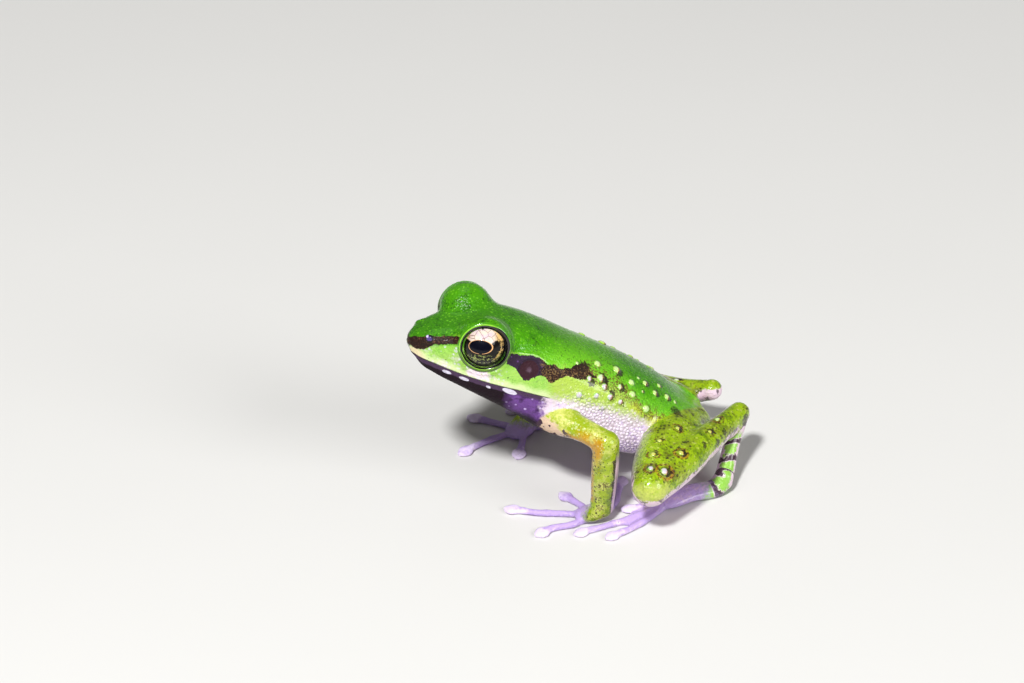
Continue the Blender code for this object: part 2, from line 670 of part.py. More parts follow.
def make_leg(side, parts, cutters):
    """Thigh, shank, tarsus and webbed foot of one side."""
    thigh_rows, shank_rows, ankle = THIGH[side], SHANK[side], ANKLE[side]
    hip, knee, heel = thigh_rows[0], thigh_rows[-1], shank_rows[-1]
    sole = carried(SOLE, ANKLE, side)
    toes = [carried(toe, ANKLE, side) for toe in TOES]
    at_knee = fold_plane(hip, knee, heel)
    at_heel = fold_plane(knee, heel, ankle)
    at_ankle = fold_plane(heel, ankle, sole[2])
    thigh = obj_from(clip_at(limb_mesh(thigh_rows), knee, at_knee, -1), f"thigh_{side}", parts)
    cut(thigh, [trunk_mesh(TORSO_SIDES, TORSO_STEP, GAP)], cutters)
    shank = clip_at(limb_mesh(shank_rows), knee, at_knee, 1)
    obj_from(clip_at(shank, heel, at_heel, -1), f"shank_{side}", parts)
    tarsus = clip_at(limb_mesh(between(heel, ankle, TARSUS_SIZES)), heel, at_heel, 1)
    obj_from(clip_at(tarsus, ankle, at_ankle, -1), f"tarsus_{side}", parts)
    foot = obj_from(limb_mesh(sole, step=SOLE_STEP, floor=True), f"foot_{side}", parts)
    rows = [digit_rows(t, TOE_HALF_WIDTH, TOE_HALF_THICKNESS, TOE_DISC) for t in toes]
    meshes = [limb_mesh(r, DIGIT_SIDES, DIGIT_STEP, floor=True) for r in rows]
    meshes += [web_mesh(toe, other) for toe, other in zip(toes, toes[1:])]
    join(foot, meshes)
    clip_at(foot.data, ankle, at_ankle, 1)


def finish_parts(parts):
    """Give every part its colour and move the model's box to stand over the origin."""
    finishes = {
        "head": "green", "torso": "green", "lower_jaw": "throat", "hand": "digit", "foot": "digit",
        "eye": "eye", "tympanum": "drum",
    }
    corners = []
    for obj in parts.objects:
        kind = obj.name.rsplit("_", 1)[0]
        colour = finishes.get(obj.name, finishes.get(kind, "limb"))
        obj.data.materials.clear()
        roughness = EYE_ROUGHNESS if colour == "eye" else SKIN_ROUGHNESS
        obj.data.materials.append(skin_material(f"{colour}_{obj.name}", roughness))
        for face in obj.data.polygons:
            face.use_smooth = True
        obj.data.set_sharp_from_angle(angle=math.radians(SHARP_ANGLE))
        corners += [vert.co for vert in obj.data.vertices]
    corners = np.array(corners)
    middle = (corners.min(0) + corners.max(0)) / 2
    for obj in parts.objects:
        obj.location = (-middle[0], -middle[1], 0.0)


def main():
    """Build the frog."""
    clear_scene()
    parts = new_collection("stream_frog")
    cutters = new_collection("cutters")
    head = make_trunk(parts, cutters)
    make_face(parts, head, cutters)
    for side in ("left", "right"):
        make_arm(side, parts, cutters)
        make_leg(side, parts, cutters)
    finish_parts(parts)


main()
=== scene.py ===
"""The looks of a green stream frog: one moist skin with its lips, lids, markings, granules and warts,
and two clear eyes, on a plain pale studio floor.

The body is worked out in millimetres, with the tip of the snout at x = 0, the left side at -y and the
floor at z = 0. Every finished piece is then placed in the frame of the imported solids, in metres.
"""

import json
import math

import bmesh
import bpy
import numpy as np
from bpy.props import FloatProperty, FloatVectorProperty, IntProperty, PointerProperty
from mathutils import Matrix, Vector
from mathutils.bvhtree import BVHTree
from mathutils.kdtree import KDTree


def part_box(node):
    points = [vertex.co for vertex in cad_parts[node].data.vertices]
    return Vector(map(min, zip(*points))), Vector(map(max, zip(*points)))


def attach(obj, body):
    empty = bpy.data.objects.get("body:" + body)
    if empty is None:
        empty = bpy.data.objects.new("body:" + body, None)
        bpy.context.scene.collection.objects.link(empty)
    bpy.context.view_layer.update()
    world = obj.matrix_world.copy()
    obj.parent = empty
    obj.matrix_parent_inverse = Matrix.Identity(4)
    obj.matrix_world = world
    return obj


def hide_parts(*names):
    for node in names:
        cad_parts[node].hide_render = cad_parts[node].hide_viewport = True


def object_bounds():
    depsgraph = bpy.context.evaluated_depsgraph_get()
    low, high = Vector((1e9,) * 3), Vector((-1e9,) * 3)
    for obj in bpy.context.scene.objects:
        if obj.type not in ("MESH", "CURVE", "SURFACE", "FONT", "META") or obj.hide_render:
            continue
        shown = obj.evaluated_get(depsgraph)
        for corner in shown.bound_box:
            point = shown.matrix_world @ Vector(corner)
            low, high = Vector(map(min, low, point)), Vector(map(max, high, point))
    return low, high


bl_info = {
    "name": "Green stream frog",
    "version": (1, 0, 0),
    "blender": (4, 5, 0),
    "location": "View3D > Sidebar > Frog",
    "description": "Dresses the solids of a green stream frog with skin, eyes and a studio",
    "category": "Add Mesh",
}

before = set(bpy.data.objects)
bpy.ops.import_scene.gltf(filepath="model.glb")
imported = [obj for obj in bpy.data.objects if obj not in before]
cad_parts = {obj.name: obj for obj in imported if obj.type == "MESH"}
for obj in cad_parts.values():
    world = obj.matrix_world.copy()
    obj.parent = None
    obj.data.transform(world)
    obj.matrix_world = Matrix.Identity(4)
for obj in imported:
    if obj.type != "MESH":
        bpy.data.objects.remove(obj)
CAD_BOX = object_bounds()

MM = 0.001
SIDES = {"left": -1.0, "right": 1.0}

# Trunk and head in one. A row holds the top of a cross section as x and z, its underside as x and z,
# the half width, how far down the widest place lies, and how round it is above and below, where 1 is
# an ellipse and less is squarer.
TRUNK = (
    (0.25, 23.00, 0.42, 21.10, 1.15, 0.62, 0.80, 0.80),
    (0.90, 23.50, 1.20, 19.70, 2.10, 0.74, 0.66, 0.80),
    (2.20, 24.00, 3.00, 18.20, 3.05, 0.76, 0.56, 0.80),
    (4.20, 24.30, 5.60, 16.60, 4.30, 0.76, 0.54, 0.80),
    (6.40, 24.45, 8.00, 15.00, 5.20, 0.74, 0.56, 0.80),
    (8.80, 24.70, 10.40, 13.20, 5.85, 0.70, 0.62, 0.82),
    (11.60, 24.45, 12.60, 11.30, 6.30, 0.62, 0.70, 0.85),
    (14.60, 23.30, 14.40, 9.60, 6.60, 0.58, 0.78, 0.88),
    (17.90, 21.45, 15.90, 8.40, 6.75, 0.56, 0.82, 0.90),
    (21.60, 19.05, 18.20, 7.20, 6.90, 0.56, 0.84, 0.90),
    (25.60, 16.55, 21.60, 5.50, 7.10, 0.58, 0.84, 0.90),
    (29.60, 13.80, 25.40, 3.90, 7.00, 0.60, 0.84, 0.90),
    (32.90, 11.20, 29.30, 2.80, 6.30, 0.58, 0.86, 0.90),
    (35.60, 8.60, 33.00, 2.50, 5.00, 0.54, 0.90, 0.90),
    (37.50, 6.80, 36.00, 2.90, 3.60, 0.50, 0.95, 0.95),
    (38.60, 5.70, 38.00, 4.00, 2.00, 0.50, 1.00, 1.00),
)
SNOUT_POLE = (0.0, 0.0, 22.3)
RUMP_POLE = (39.0, 0.0, 4.85)

# Line of the lips from the side, as x and z, and the swelling along it
MOUTH_LINE = (
    (-1.0, 21.98), (0.6, 21.38), (3.6, 20.22), (6.5, 19.15), (9.65, 18.00), (12.8, 16.90), (14.5, 16.20),
    (16.2, 15.45), (18.0, 14.80),
)
MOUTH_CORNER = 16.2
LIP_SWELL = 0.22
LIP_REACH = 0.75
LIP_FADE = 3.0

# Eyes, lids, nostrils and ear drums
EYE_CENTRE = {"left": (8.7, -4.05, 22.9), "right": (8.5, 4.3, 23.0)}
LID_RADIUS = 3.42
LID_ROOT = {"left": (8.9, -2.6, 21.3), "right": (8.8, 2.8, 21.4)}
LID_BLEND = 1.3
LID_EDGE = 1.15
LID_REACH = 0.35
OPENING_RADIUS = math.sqrt(LID_RADIUS**2 - LID_EDGE**2)
RIM_RADIUS = OPENING_RADIUS - 0.24
RIM_THICKNESS = 0.30
RIM_SINK = 0.06
RIM_FLATNESS = 0.85
RIM_AROUND, RIM_ABOUT = 120, 16
SOCKET_RADIUS = 2.95
EYE_OPENING_AXIS = {"left": (-0.22, -0.94, 0.15), "right": (-0.06, 0.97, -0.15)}
GAZE = (-0.377, -0.857, 0.355)
# Shares of across and upward that make the level of the eye, the height of the cornea and where its edge
# lies for the gaze, the fineness of an eyeball, and what stands for the iris behind it
EYE_LEVEL = (0.998, 0.062)
CORNEA_HEIGHT, CORNEA_EDGE = 0.10, 0.55
EYE_SIDES, EYE_RINGS = 96, 64
BEHIND_IRIS = 3.0
NOSTRIL = (2.15, -2.0, 23.35)
NOSTRIL_SWELL = 0.62
NOSTRIL_BLEND = 0.5
NOSTRIL_PIT = (2.25, -2.35, 23.68)
DRUM_CENTRE = (13.8, -6.05, 19.5)
DRUM_RADIUS = 1.5

# Fold along each side of the back: height, width, place as a share of the way down the section, and
# where along the body it comes in and fades out
FOLD_HEIGHT = 0.22
FOLD_WIDTH = 0.13
FOLD_PLACE = 0.23
FOLD_START = (13.0, 4.0)
FOLD_END = (35.0, 5.0)

# Limbs. A row is x, y, z, half width and half thickness.
UPPER_ARM = {
    "left": (
        (15.4, -3.9, 12.5, 2.0, 2.1), (17.4, -6.6, 12.1, 2.0, 1.95),
        (19.8, -9.2, 11.8, 1.6, 1.45), (22.1, -11.9, 11.15, 1.5, 1.55),
    ),
    "right": (
        (15.4, 3.9, 12.5, 2.0, 2.1), (17.2, 6.8, 11.9, 2.0, 1.95),
        (18.8, 9.4, 11.5, 1.6, 1.45), (20.5, 11.7, 10.7, 1.55, 1.6),
    ),
}
FOREARM_SIZES = ((0.0, 1.60, 1.60), (0.3, 1.7, 1.7), (0.65, 1.6, 1.6), (1.0, 1.45, 1.4))
WRIST = {"left": (21.6, -12.0, 1.9), "right": (18.3, 9.8, 1.9)}
PALM = ((21.7, -12.0, 3.2, 1.5, 1.45), (21.2, -11.9, 1.5, 1.65, 1.25), (20.0, -11.4, 0.75, 1.75, 0.85),
        (18.9, -11.1, 0.55, 1.3, 0.6))
FINGERS = {
    "left": (
        ((21.9, -11.4), (24.0, -9.5), (25.2, -7.0), (26.4, -4.5)),
        ((20.6, -11.2), (20.0, -9.4), (19.0, -7.5), (18.2, -5.9)),
        ((20.0, -11.2), (17.7, -10.3), (13.9, -9.0), (10.8, -7.2)),
        ((20.0, -11.8), (17.6, -12.7), (15.2, -12.8), (13.0, -13.5)),
    ),
    "right": (
        ((18.6, 9.6), (20.8, 9.5), (22.9, 9.0), (24.9, 8.4)),
        ((17.2, 9.2), (16.6, 7.2), (15.9, 5.4), (15.1, 3.8)),
        ((16.6, 9.4), (13.6, 8.6), (10.9, 7.6), (8.4, 6.4)),
        ((16.6, 9.8), (14.7, 11.6), (13.1, 12.9), (11.6, 14.2)),
    ),
}
THIGH = {
    "left": (
        (36.2, -2.3, 5.6, 2.4, 2.3), (33.6, -5.0, 6.5, 3.0, 2.8), (30.2, -9.4, 7.2, 3.1, 2.9),
        (27.6, -13.8, 7.1, 2.75, 2.6), (26.4, -16.5, 6.8, 2.4, 2.35),
    ),
    "right": (
        (36.2, 2.3, 5.6, 2.4, 2.3), (33.4, 5.2, 5.5, 3.0, 2.8), (29.8, 9.6, 4.9, 3.1, 2.7),
        (27.2, 13.6, 4.0, 2.7, 2.4), (26.0, 16.0, 3.3, 2.3, 2.2),
    ),
}
SHANK = {
    "left": (
        (26.4, -16.5, 6.8, 2.3, 2.3), (30.4, -13.8, 7.2, 2.35, 2.3), (34.4, -10.3, 7.3, 2.15, 2.1),
        (38.5, -6.8, 7.3, 1.65, 1.65), (41.7, -4.0, 7.3, 1.4, 1.4),
    ),
    "right": (
        (26.0, 16.0, 3.3, 2.2, 2.2), (30.0, 13.0, 3.5, 2.3, 2.2), (33.9, 9.4, 4.3, 1.95, 1.9),
        (37.6, 6.0, 5.25, 1.45, 1.45), (40.5, 3.4, 6.4, 1.25, 1.25),
    ),
}
ANKLE = {"left": (37.9, -9.9, 1.35), "right": (36.9, 9.6, 1.35)}
TARSUS_SIZES = ((0.0, 1.35, 1.35), (0.45, 1.05, 1.1), (1.0, 1.25, 1.05))
SOLE = ((38.1, -9.7, 2.0, 1.25, 1.1), (37.4, -10.0, 1.1, 1.35, 1.05), (33.6, -10.4, 0.8, 1.5, 0.85),
        (29.6, -10.9, 0.6, 1.7, 0.65), (28.6, -11.0, 0.5, 1.3, 0.5))
TOES = (
    ((32.6, -9.6), (31.6, -8.9), (30.9, -8.4), (29.9, -7.9)),
    ((30.6, -10.0), (29.4, -9.6), (28.2, -9.2), (27.0, -8.7)),
    ((29.6, -10.7), (27.9, -11.1), (26.3, -11.2), (24.8, -11.0)),
    ((29.4, -11.4), (25.6, -13.0), (21.6, -14.0), (17.7, -14.6)),
    ((29.8, -11.8), (26.8, -14.0), (24.0, -15.5), (21.2, -16.4)),
)
DIGIT = {"finger": (0.44, 0.42, 1.00), "toe": (0.44, 0.40, 0.90)}
DIGIT_JOINTS = (2.2, 5.2)
# Swelling, thickening and half length of a joint, the last rows past the last floor point, where the
# disc starts and how sharply the shaft gives way to it, the least half width, how high the middle lies
# for the half thickness, and the thickness at the tip, what it gains and over which length
JOINT_SWELL, JOINT_THICKENING, JOINT_LENGTH = 0.16, 0.1, 0.45
DIGIT_ENDS = (0.14, 0.26)
DISC_START = 0.12
DISC_SHARPNESS = 6
DIGIT_LEAST = 0.3
DIGIT_LIFT = 0.86
TIP_THICKNESS, TIP_GAIN, TIP_LENGTH = 0.72, 0.28, 1.2
# Steps between the rows of the trunk, of limbs and of digits, and the sides of their sections
TRUNK_STEP, LIMB_STEP, DIGIT_STEP = 0.3, 0.4, 0.2
TRUNK_SIDES, LIMB_SIDES, DIGIT_SIDES = 110, 28, 16
# Angles of the rows that round off the end of a limb, and the limbs that rest on the floor
CAP_ANGLES = (15, 30, 45, 60, 75)
ON_FLOOR = ("palm", "sole", "finger", "toe")
# Way to which the section of a limb is square, where it isn't the upright
SECTION_WAY = {"forearm": (1.0, 0.0, 0.0), "palm": (0.2, 0.0, 1.0)}
WEB_REACH = 0.78
WEB_NOTCH = 0.55
WEB_THICKNESS = 0.5

# Looking square at the left side from a little ahead and above, across and up, in millimetres. The
# edges of the markings are given on this slanting plane, and the right side mirrors the left.
ACROSS = (0.9659, -0.2588, 0.0)
UPWARD = (0.1371, 0.5118, 0.8480)
TOWARDS = (-0.2195, -0.8191, 0.5299)
BAND_TOP = (
    (-1.0, 19.30), (0.3, 19.42), (3.4, 19.48), (6.1, 19.50), (9.0, 18.60), (12.6, 17.36), (14.3, 17.18),
    (15.4, 17.10), (16.1, 16.85), (16.7, 16.50), (17.2, 16.03), (18.2, 15.95), (18.8, 15.40),
    (19.6, 15.65), (20.0, 15.50), (20.7, 16.10), (22.0, 16.15), (22.5, 15.20), (23.5, 14.20),
)
BAND_LOW = (
    (-1.0, 18.90), (0.5, 18.40), (0.9, 18.02), (1.9, 17.87), (2.6, 18.05), (3.2, 18.45), (6.7, 18.53),
    (9.0, 17.00), (12.5, 16.00), (13.2, 15.60), (13.7, 14.90), (14.2, 14.15), (14.8, 14.05),
    (15.4, 14.42), (16.1, 14.70), (16.9, 14.52), (17.4, 13.75), (17.9, 13.70), (18.1, 14.02),
    (18.9, 14.33), (19.6, 14.68), (20.8, 14.23), (22.0, 14.12), (22.5, 14.30), (23.5, 14.25),
)
# Lower edge of the green of the flank and upper edge of the pale belly, as x and z
FLANK_LINE = (
    (14.0, 18.6), (17.9, 18.0), (21.7, 16.2), (24.2, 14.6), (25.9, 13.3), (26.8, 12.4), (27.8, 11.2),
    (28.6, 10.1), (31.0, 8.6), (34.0, 7.0), (39.0, 4.6),
)
BELLY_LINE = (
    (11.0, 15.6), (15.5, 15.4), (17.6, 14.6), (19.5, 14.2), (21.4, 13.4), (23.3, 12.6), (25.3, 11.6),
    (27.9, 10.2), (29.3, 9.0), (32.0, 6.6), (36.0, 4.4), (39.0, 3.6),
)
# White spots of the lower lip on the slanting plane: middle, half length and half height, and the way
# down that their long sides take
LIP_SPOT_SLOPE = -0.32
LIP_SPOTS = (
    (4.87, 15.12, 0.60, 0.21), (6.97, 14.28, 0.66, 0.22), (9.95, 13.28, 0.34, 0.17),
    (12.55, 12.72, 0.95, 0.34),
)
# Warts of the left side: place, radius and how dark the ring round it is
WARTS = (
    (20.21, -4.45, 18.43, 0.22, 0.0), (23.14, -3.46, 17.20, 0.40, 0.25), (25.74, -3.25, 15.74, 0.46, 0.7),
    (21.65, -5.46, 16.64, 0.34, 0.8), (23.25, -5.04, 16.12, 0.46, 0.9), (23.42, -5.77, 15.28, 0.38, 0.5),
    (25.69, -5.20, 14.55, 0.34, 0.8), (24.00, -6.35, 14.14, 0.38, 0.6), (25.35, -6.44, 13.14, 0.32, 0.5),
    (22.18, -6.50, 14.68, 0.32, 0.0), (19.99, -6.64, 15.21, 0.40, 0.0), (28.71, -2.91, 13.98, 0.22, 0.0),
    (27.35, -4.18, 14.28, 0.38, 0.1), (29.50, -3.22, 13.33, 0.36, 0.7), (31.66, -2.32, 11.93, 0.30, 0.5),
    (27.16, -5.48, 13.43, 0.40, 0.2), (28.83, -4.65, 12.99, 0.20, 0.6), (30.60, -4.00, 12.08, 0.34, 0.8),
    (32.34, -3.47, 10.90, 0.38, 0.8), (28.79, -6.12, 11.45, 0.42, 0.0), (23.01, -6.85, 12.95, 0.28, 0.0),
    (33.48, -3.37, 9.86, 0.24, 0.2), (28.12, -16.52, 8.97, 0.42, 0.9), (26.59, -15.96, 9.09, 0.32, 0.7),
    (31.17, -13.92, 9.42, 0.34, 1.0), (27.62, -13.62, 9.39, 0.30, 0.8), (29.15, -11.52, 9.96, 0.28, 0.6),
    (31.93, -8.90, 9.34, 0.30, 0.8), (37.80, -7.19, 8.97, 0.32, 0.7), (36.02, -9.87, 9.11, 0.26, 0.6),
)
# Way to the darker side of a wart, where its shade falls and is partly painted, how much larger it stands
# than its mark, and how deep it is rooted
WART_SHADED_SIDE = (0.75, 0.0, -0.65)
WART_SWELL = 1.30
WART_ROOT = 0.12
# Dark blotches of the left side: place and radius
BLOTCHES = (
    (21.03, -4.58, 17.80, 0.85), (21.60, -4.30, 17.60, 0.60), (32.99, -4.72, 9.22, 0.80),
    (34.60, -12.00, 8.93, 0.48), (36.30, -9.60, 9.00, 0.40), (38.10, -7.10, 8.90, 0.45),
    (36.90, -10.60, 7.90, 0.50), (38.30, -9.05, 8.15, 0.45), (30.10, -12.50, 9.15, 0.32),
    (31.00, -12.70, 9.30, 0.30), (25.90, -3.60, 15.50, 0.50), (21.90, -5.90, 16.20, 0.60),
    (23.80, -5.20, 15.80, 0.60), (24.40, -6.00, 14.40, 0.50), (41.90, -5.60, 7.40, 0.80),
)

# Grains for each square metre at most, how their sizes spread, the least share of the size where they
# thin out, and their thickness for their width
GRANULE_DENSITY = 2.0e7
GRANULE_SPREAD = (0.65, 1.15)
GRANULE_LEAST = 0.45
GRANULE_FLATNESS = 0.36

# How much lower the markings lie on the right side, which the head leans away from, and how far right of
# the middle that sets in
LOWER_ON_RIGHT = 0.6
RIGHT_FROM = (0.2, 1.6)
# How far back the dark band reaches, and how steep a place on the back may be
BAND_END = 26
BACK_SLOPE = 0.25
# Where granules come in below the green of the flank, behind the arm and ahead of the rump, and where
# they give way to a limb
GRANULE_BELOW, GRANULE_FRONT, GRANULE_REAR = (-0.6, 2.4), (16.6, 19.5), (-36.0, -33.0)
GRANULE_LIMB = (0.2, 0.6)
# Marks round a wart for its radius: way of the ring's middle to the rear, inner and outer edge of the
# ring, middle and half width of the halo, inner and outer edge of the foot, and reach of a blotch
WART_SHIFT, WART_RING, WART_HALO, WART_FOOT = 0.6, (0.6, 2.9), (2.5, 1.1), (0.5, 2.2)
BLOTCH_REACH = 1.4
# Way that the outer face of a leg is turned, on the left side
LEG_OUTWARD = (-0.15, -0.45, 0.88)

# Side of the skin's cells, the most triangles that one piece may have, and where the markings of a limb
# give way to those of the trunk, all but the count in millimetres
VOXEL = 0.226
MOST_TRIANGLES = 195000
LIMB_START = 0.18
LIMB_REACH = 0.9
# How far out a place on the left lies at least for it to be on an arm or leg, and where the colour of
# warts on a leg comes in and fades out
LEG_FROM, LEG_FULL = 7.0, 7.6
LEG_FADE = (-15.6, -15.0)
# Where the colour of warts turns lilac, for the green of the flank
LILAC_FROM = (-1.6, -0.4)
# Smoothing of the skin: rounds that take out the steps of the remesh, and how far each pulls in and out,
# then rounds that fill creases, after how many the normals are renewed, their strength, where along the
# body and above the floor they set in, and their share near the floor and up to which heights
STEP_ROUNDS, STEP_PULLS = 3, (0.5, -0.52)
CREASE_ROUNDS, CREASE_RENEWED, CREASE_FILL = 36, 6, 0.9
CREASE_BEHIND, CREASE_ABOVE = (12.5, 14.5), (1.6, 3.2)
CREASE_LOW, CREASE_BELOW = 0.12, (1.2, 2.2)
# Small forms of the skin as height and half width: the fold over the ear, the rim and middle of the ear
# drum, its sunken ring and the nostril, and where the fold lies above the band and along the head
EAR_FOLD, DRUM_RIM, DRUM_MIDDLE = (0.13, 0.30), (0.07, 0.2), (0.10, 0.45)
DRUM_SUNK, NOSTRIL_SUNK = (0.16, 0.35), (0.30, 0.26)
EAR_FOLD_RISE = 0.12
EAR_FOLD_FRONT, EAR_FOLD_REAR = (12.4, 13.2), (-18.5, -16.8)
# Places round a limb that are compared at once
PLACES_AT_ONCE = 4000


def unit(vector):
    """The vector at length one."""
    vector = np.asarray(vector, float)
    return vector / np.linalg.norm(vector)


def mirrored(point):
    """The same place on the other side of the body."""
    return (point[0], -point[1], *point[2:])


def sided(point, side):
    """A place given for the left, on the side that is asked for."""
    return tuple(point) if side == "left" else mirrored(point)


def ramp(value, start, end):
    """A soft rise from 0 at start to 1 at end."""
    share = np.clip((np.asarray(value) - start) / (end - start), 0.0, 1.0)
    return share * share * (3 - 2 * share)


def height_on(line, x):
    """Height of a line given as pairs at a place along it."""
    xs, zs = zip(*line)
    return np.interp(x, xs, zs)


def frame_shift():
    """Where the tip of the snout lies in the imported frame, in metres."""
    low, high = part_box("eye_left")
    return np.array((low + high) / 2) - np.array(EYE_CENTRE["left"]) * MM


SHIFT = frame_shift()


def flow(rows, step):
    """Rows read at even steps from the smooth curve that passes through the given rows."""
    rows = np.asarray(rows, float)
    along = np.concatenate(([0.0], np.cumsum(np.linalg.norm(np.diff(rows[:, :3], axis=0), axis=1))))
    slopes = np.gradient(rows, along, axis=0)
    count = max(2, round(along[-1] / step) + 1)
    at = np.linspace(0.0, along[-1], count)
    piece = np.clip(np.searchsorted(along, at, side="right") - 1, 0, len(along) - 2)
    length = (along[piece + 1] - along[piece])[:, None]
    t = (at[:, None] - along[piece][:, None]) / length
    start, end = rows[piece], rows[piece + 1]
    return ((2 * t**3 - 3 * t**2 + 1) * start + (t**3 - 2 * t**2 + t) * length * slopes[piece]
            + (3 * t**2 - 2 * t**3) * end + (t**3 - t**2) * length * slopes[piece + 1])


def closed_tube(rings, first, last):
    """Points and faces of a closed tube through rings, drawn to a point at each end."""
    count, sides = len(rings), len(rings[0])
    points = np.concatenate((np.reshape(rings, (-1, 3)), [first], [last]))
    faces = []
    for i in range(count - 1):
        for j in range(sides):
            k = (j + 1) % sides
            faces.append((i * sides + j, i * sides + k, (i + 1) * sides + k, (i + 1) * sides + j))
    top = (count - 1) * sides
    for j in range(sides):
        k = (j + 1) % sides
        faces.append((count * sides, k, j))
        faces.append((count * sides + 1, top + j, top + k))
    return points, faces


def bulge(points, centre, radius, blend, root):
    """Push points away from a root inside a ball and out to it, softly where the ball ends."""
    root = np.asarray(root, float)
    offset = points - root
    distance = np.linalg.norm(offset, axis=-1, keepdims=True)
    middle = root - np.asarray(centre, float)
    ahead = (offset * middle).sum(-1, keepdims=True) / distance
    shell = np.sqrt(ahead**2 - middle @ middle + radius**2) - ahead
    soft = np.clip(blend - np.abs(distance - shell), 0.0, None) ** 2 / (4.0 * blend)
    return root + offset * (np.maximum(distance, shell) + soft) / distance


def fold_swell(x, down):
    """How far the fold along the side of the back stands out at a height on the section."""
    start, rise = FOLD_START
    end, fall = FOLD_END
    share = np.clip((x - start) / rise, 0.0, 1.0) * np.clip((end - x) / fall, 0.0, 1.0)
    return FOLD_HEIGHT * share * np.exp(-(((down - FOLD_PLACE) / FOLD_WIDTH) ** 2))


def lip_swell(rings):
    """Swell the lips along the line of the mouth, up to its corners."""
    above = np.abs(rings[..., 2] - height_on(MOUTH_LINE, rings[..., 0]))
    close = np.clip(1 - above / LIP_REACH, 0, 1)
    ahead = np.clip((MOUTH_CORNER - rings[..., 0]) / LIP_FADE, 0, 1)
    out = LIP_SWELL * close**2 * (3 - 2 * close) * ahead
    rings = rings.copy()
    rings[..., 1] += out * np.clip(rings[..., 1], -1, 1)
    rings[..., 0] -= out * np.clip(1 - rings[..., 0] / LIP_FADE, 0, 1)
    return rings


def trunk(sides, step):
    """Head and trunk, with lids, nostrils, lips and side folds raised in them."""
    table = flow([(t[0], t[1], 0.0, *t) for t in TRUNK], step)[:, 3:]
    turn = np.arange(sides) * 2.0 * math.pi / sides
    c, s = np.cos(turn), np.sin(turn)
    rings = []
    for top_x, top_z, low_x, low_z, half, widest, above, below in table:
        power = np.where(s >= 0, above, below)
        rise = np.abs(s) ** power
        down = np.where(s >= 0, widest * (1 - rise), widest + (1 - widest) * rise)
        across = half * np.sign(c) * np.abs(c) ** power + fold_swell(top_x, down) * np.sign(c)
        rings.append(np.stack((top_x + (low_x - top_x) * down, across,
                               top_z + (low_z - top_z) * down), axis=1))
    rings = np.array(rings)
    for side in SIDES:
        nostril = sided(NOSTRIL, side)
        rings = bulge(rings, EYE_CENTRE[side], LID_RADIUS, LID_BLEND, LID_ROOT[side])
        rings = bulge(rings, nostril, NOSTRIL_SWELL, NOSTRIL_BLEND, nostril)
    return closed_tube(lip_swell(rings), SNOUT_POLE, RUMP_POLE)


def limb(rows, sides, across, floor):
    """A limb of oval section through rows, rounded at both ends and pressed flat on the floor."""
    path = rows[:, :3]
    along = np.gradient(path, axis=0)
    turn = np.arange(sides) * 2.0 * math.pi / sides

    def ring(centre, direction, half_width, half_height):
        """An oval section of the limb, square to its way."""
        wide = unit(np.cross(direction, across))
        high = unit(np.cross(wide, direction))
        return (centre + np.cos(turn)[:, None] * half_width * wide
                + np.sin(turn)[:, None] * half_height * high)

    rings = []
    ends = ((path[0], -unit(along[0]), rows[0]), (path[-1], unit(along[-1]), rows[-1]))
    for place, direction, row in zip(path, along, rows):
        rings.append(ring(place, unit(direction), row[3], row[4]))
    for end, (place, outward, row) in enumerate(ends):
        for angle in CAP_ANGLES:
            shrink, reach = math.cos(math.radians(angle)), math.sin(math.radians(angle))
            depth = min(row[3], row[4]) * reach
            facing = outward if end else -outward
            cap = ring(place + outward * depth, facing, row[3] * shrink, row[4] * shrink)
            rings.insert(len(rings) if end else 0, cap)
    rings = np.array(rings)
    tips = [place + outward * min(row[3], row[4]) for place, outward, row in ends]
    if floor:
        rings[..., 2] = np.maximum(rings[..., 2], 0.0)
    return closed_tube(rings, *tips)


def between(start, end, sizes):
    """Rows of a straight limb between two points, with sizes at shares of its length."""
    start, end = np.asarray(start[:3], float), np.asarray(end[:3], float)
    return [(*(start + (end - start) * share), wide, thick) for share, wide, thick in sizes]


def carried(rows, joint, side):
    """Left rows as they are, or rows for the right side, mirrored and carried along with the joint."""
    if side == "left":
        return rows
    shift_x = joint["right"][0] - joint["left"][0]
    shift_y = joint["right"][1] + joint["left"][1]
    return [(row[0] + shift_x, shift_y - row[1], *row[2:]) for row in rows]


def digit_rows(points, kind):
    """Rows for a finger or toe along floor points, with swollen joints and a round disc at the tip."""
    half_width, half_thickness, disc = DIGIT[kind]
    path = flow([(x, y, 0.0) for x, y in points], DIGIT_STEP)[:, :2]
    ahead = unit(path[-1] - path[-2])
    path = np.vstack((path, [path[-1] + ahead * way for way in DIGIT_ENDS]))
    steps = np.linalg.norm(np.diff(path, axis=0), axis=1)
    left = np.concatenate((np.cumsum(steps[::-1])[::-1], [0.0]))
    rows = []
    for (x, y), to_tip in zip(path, left):
        joints = sum(math.exp(-(((to_tip - place) / JOINT_LENGTH) ** 2)) for place in DIGIT_JOINTS)
        shaft = half_width * (1 + JOINT_SWELL * joints)
        round_disc = disc * math.sqrt(max(0.0, 1 - ((to_tip + DISC_START - disc) / disc) ** 2))
        width = ((shaft**DISC_SHARPNESS * (to_tip > disc) + round_disc**DISC_SHARPNESS)
                 ** (1 / DISC_SHARPNESS))
        at_tip = TIP_THICKNESS + TIP_GAIN * ramp(to_tip, 0.0, TIP_LENGTH)
        thick = half_thickness * (1 + JOINT_THICKENING * joints) * at_tip
        rows.append((x, y, thick * DIGIT_LIFT, max(width, DIGIT_LEAST), thick))
    return np.array(rows)


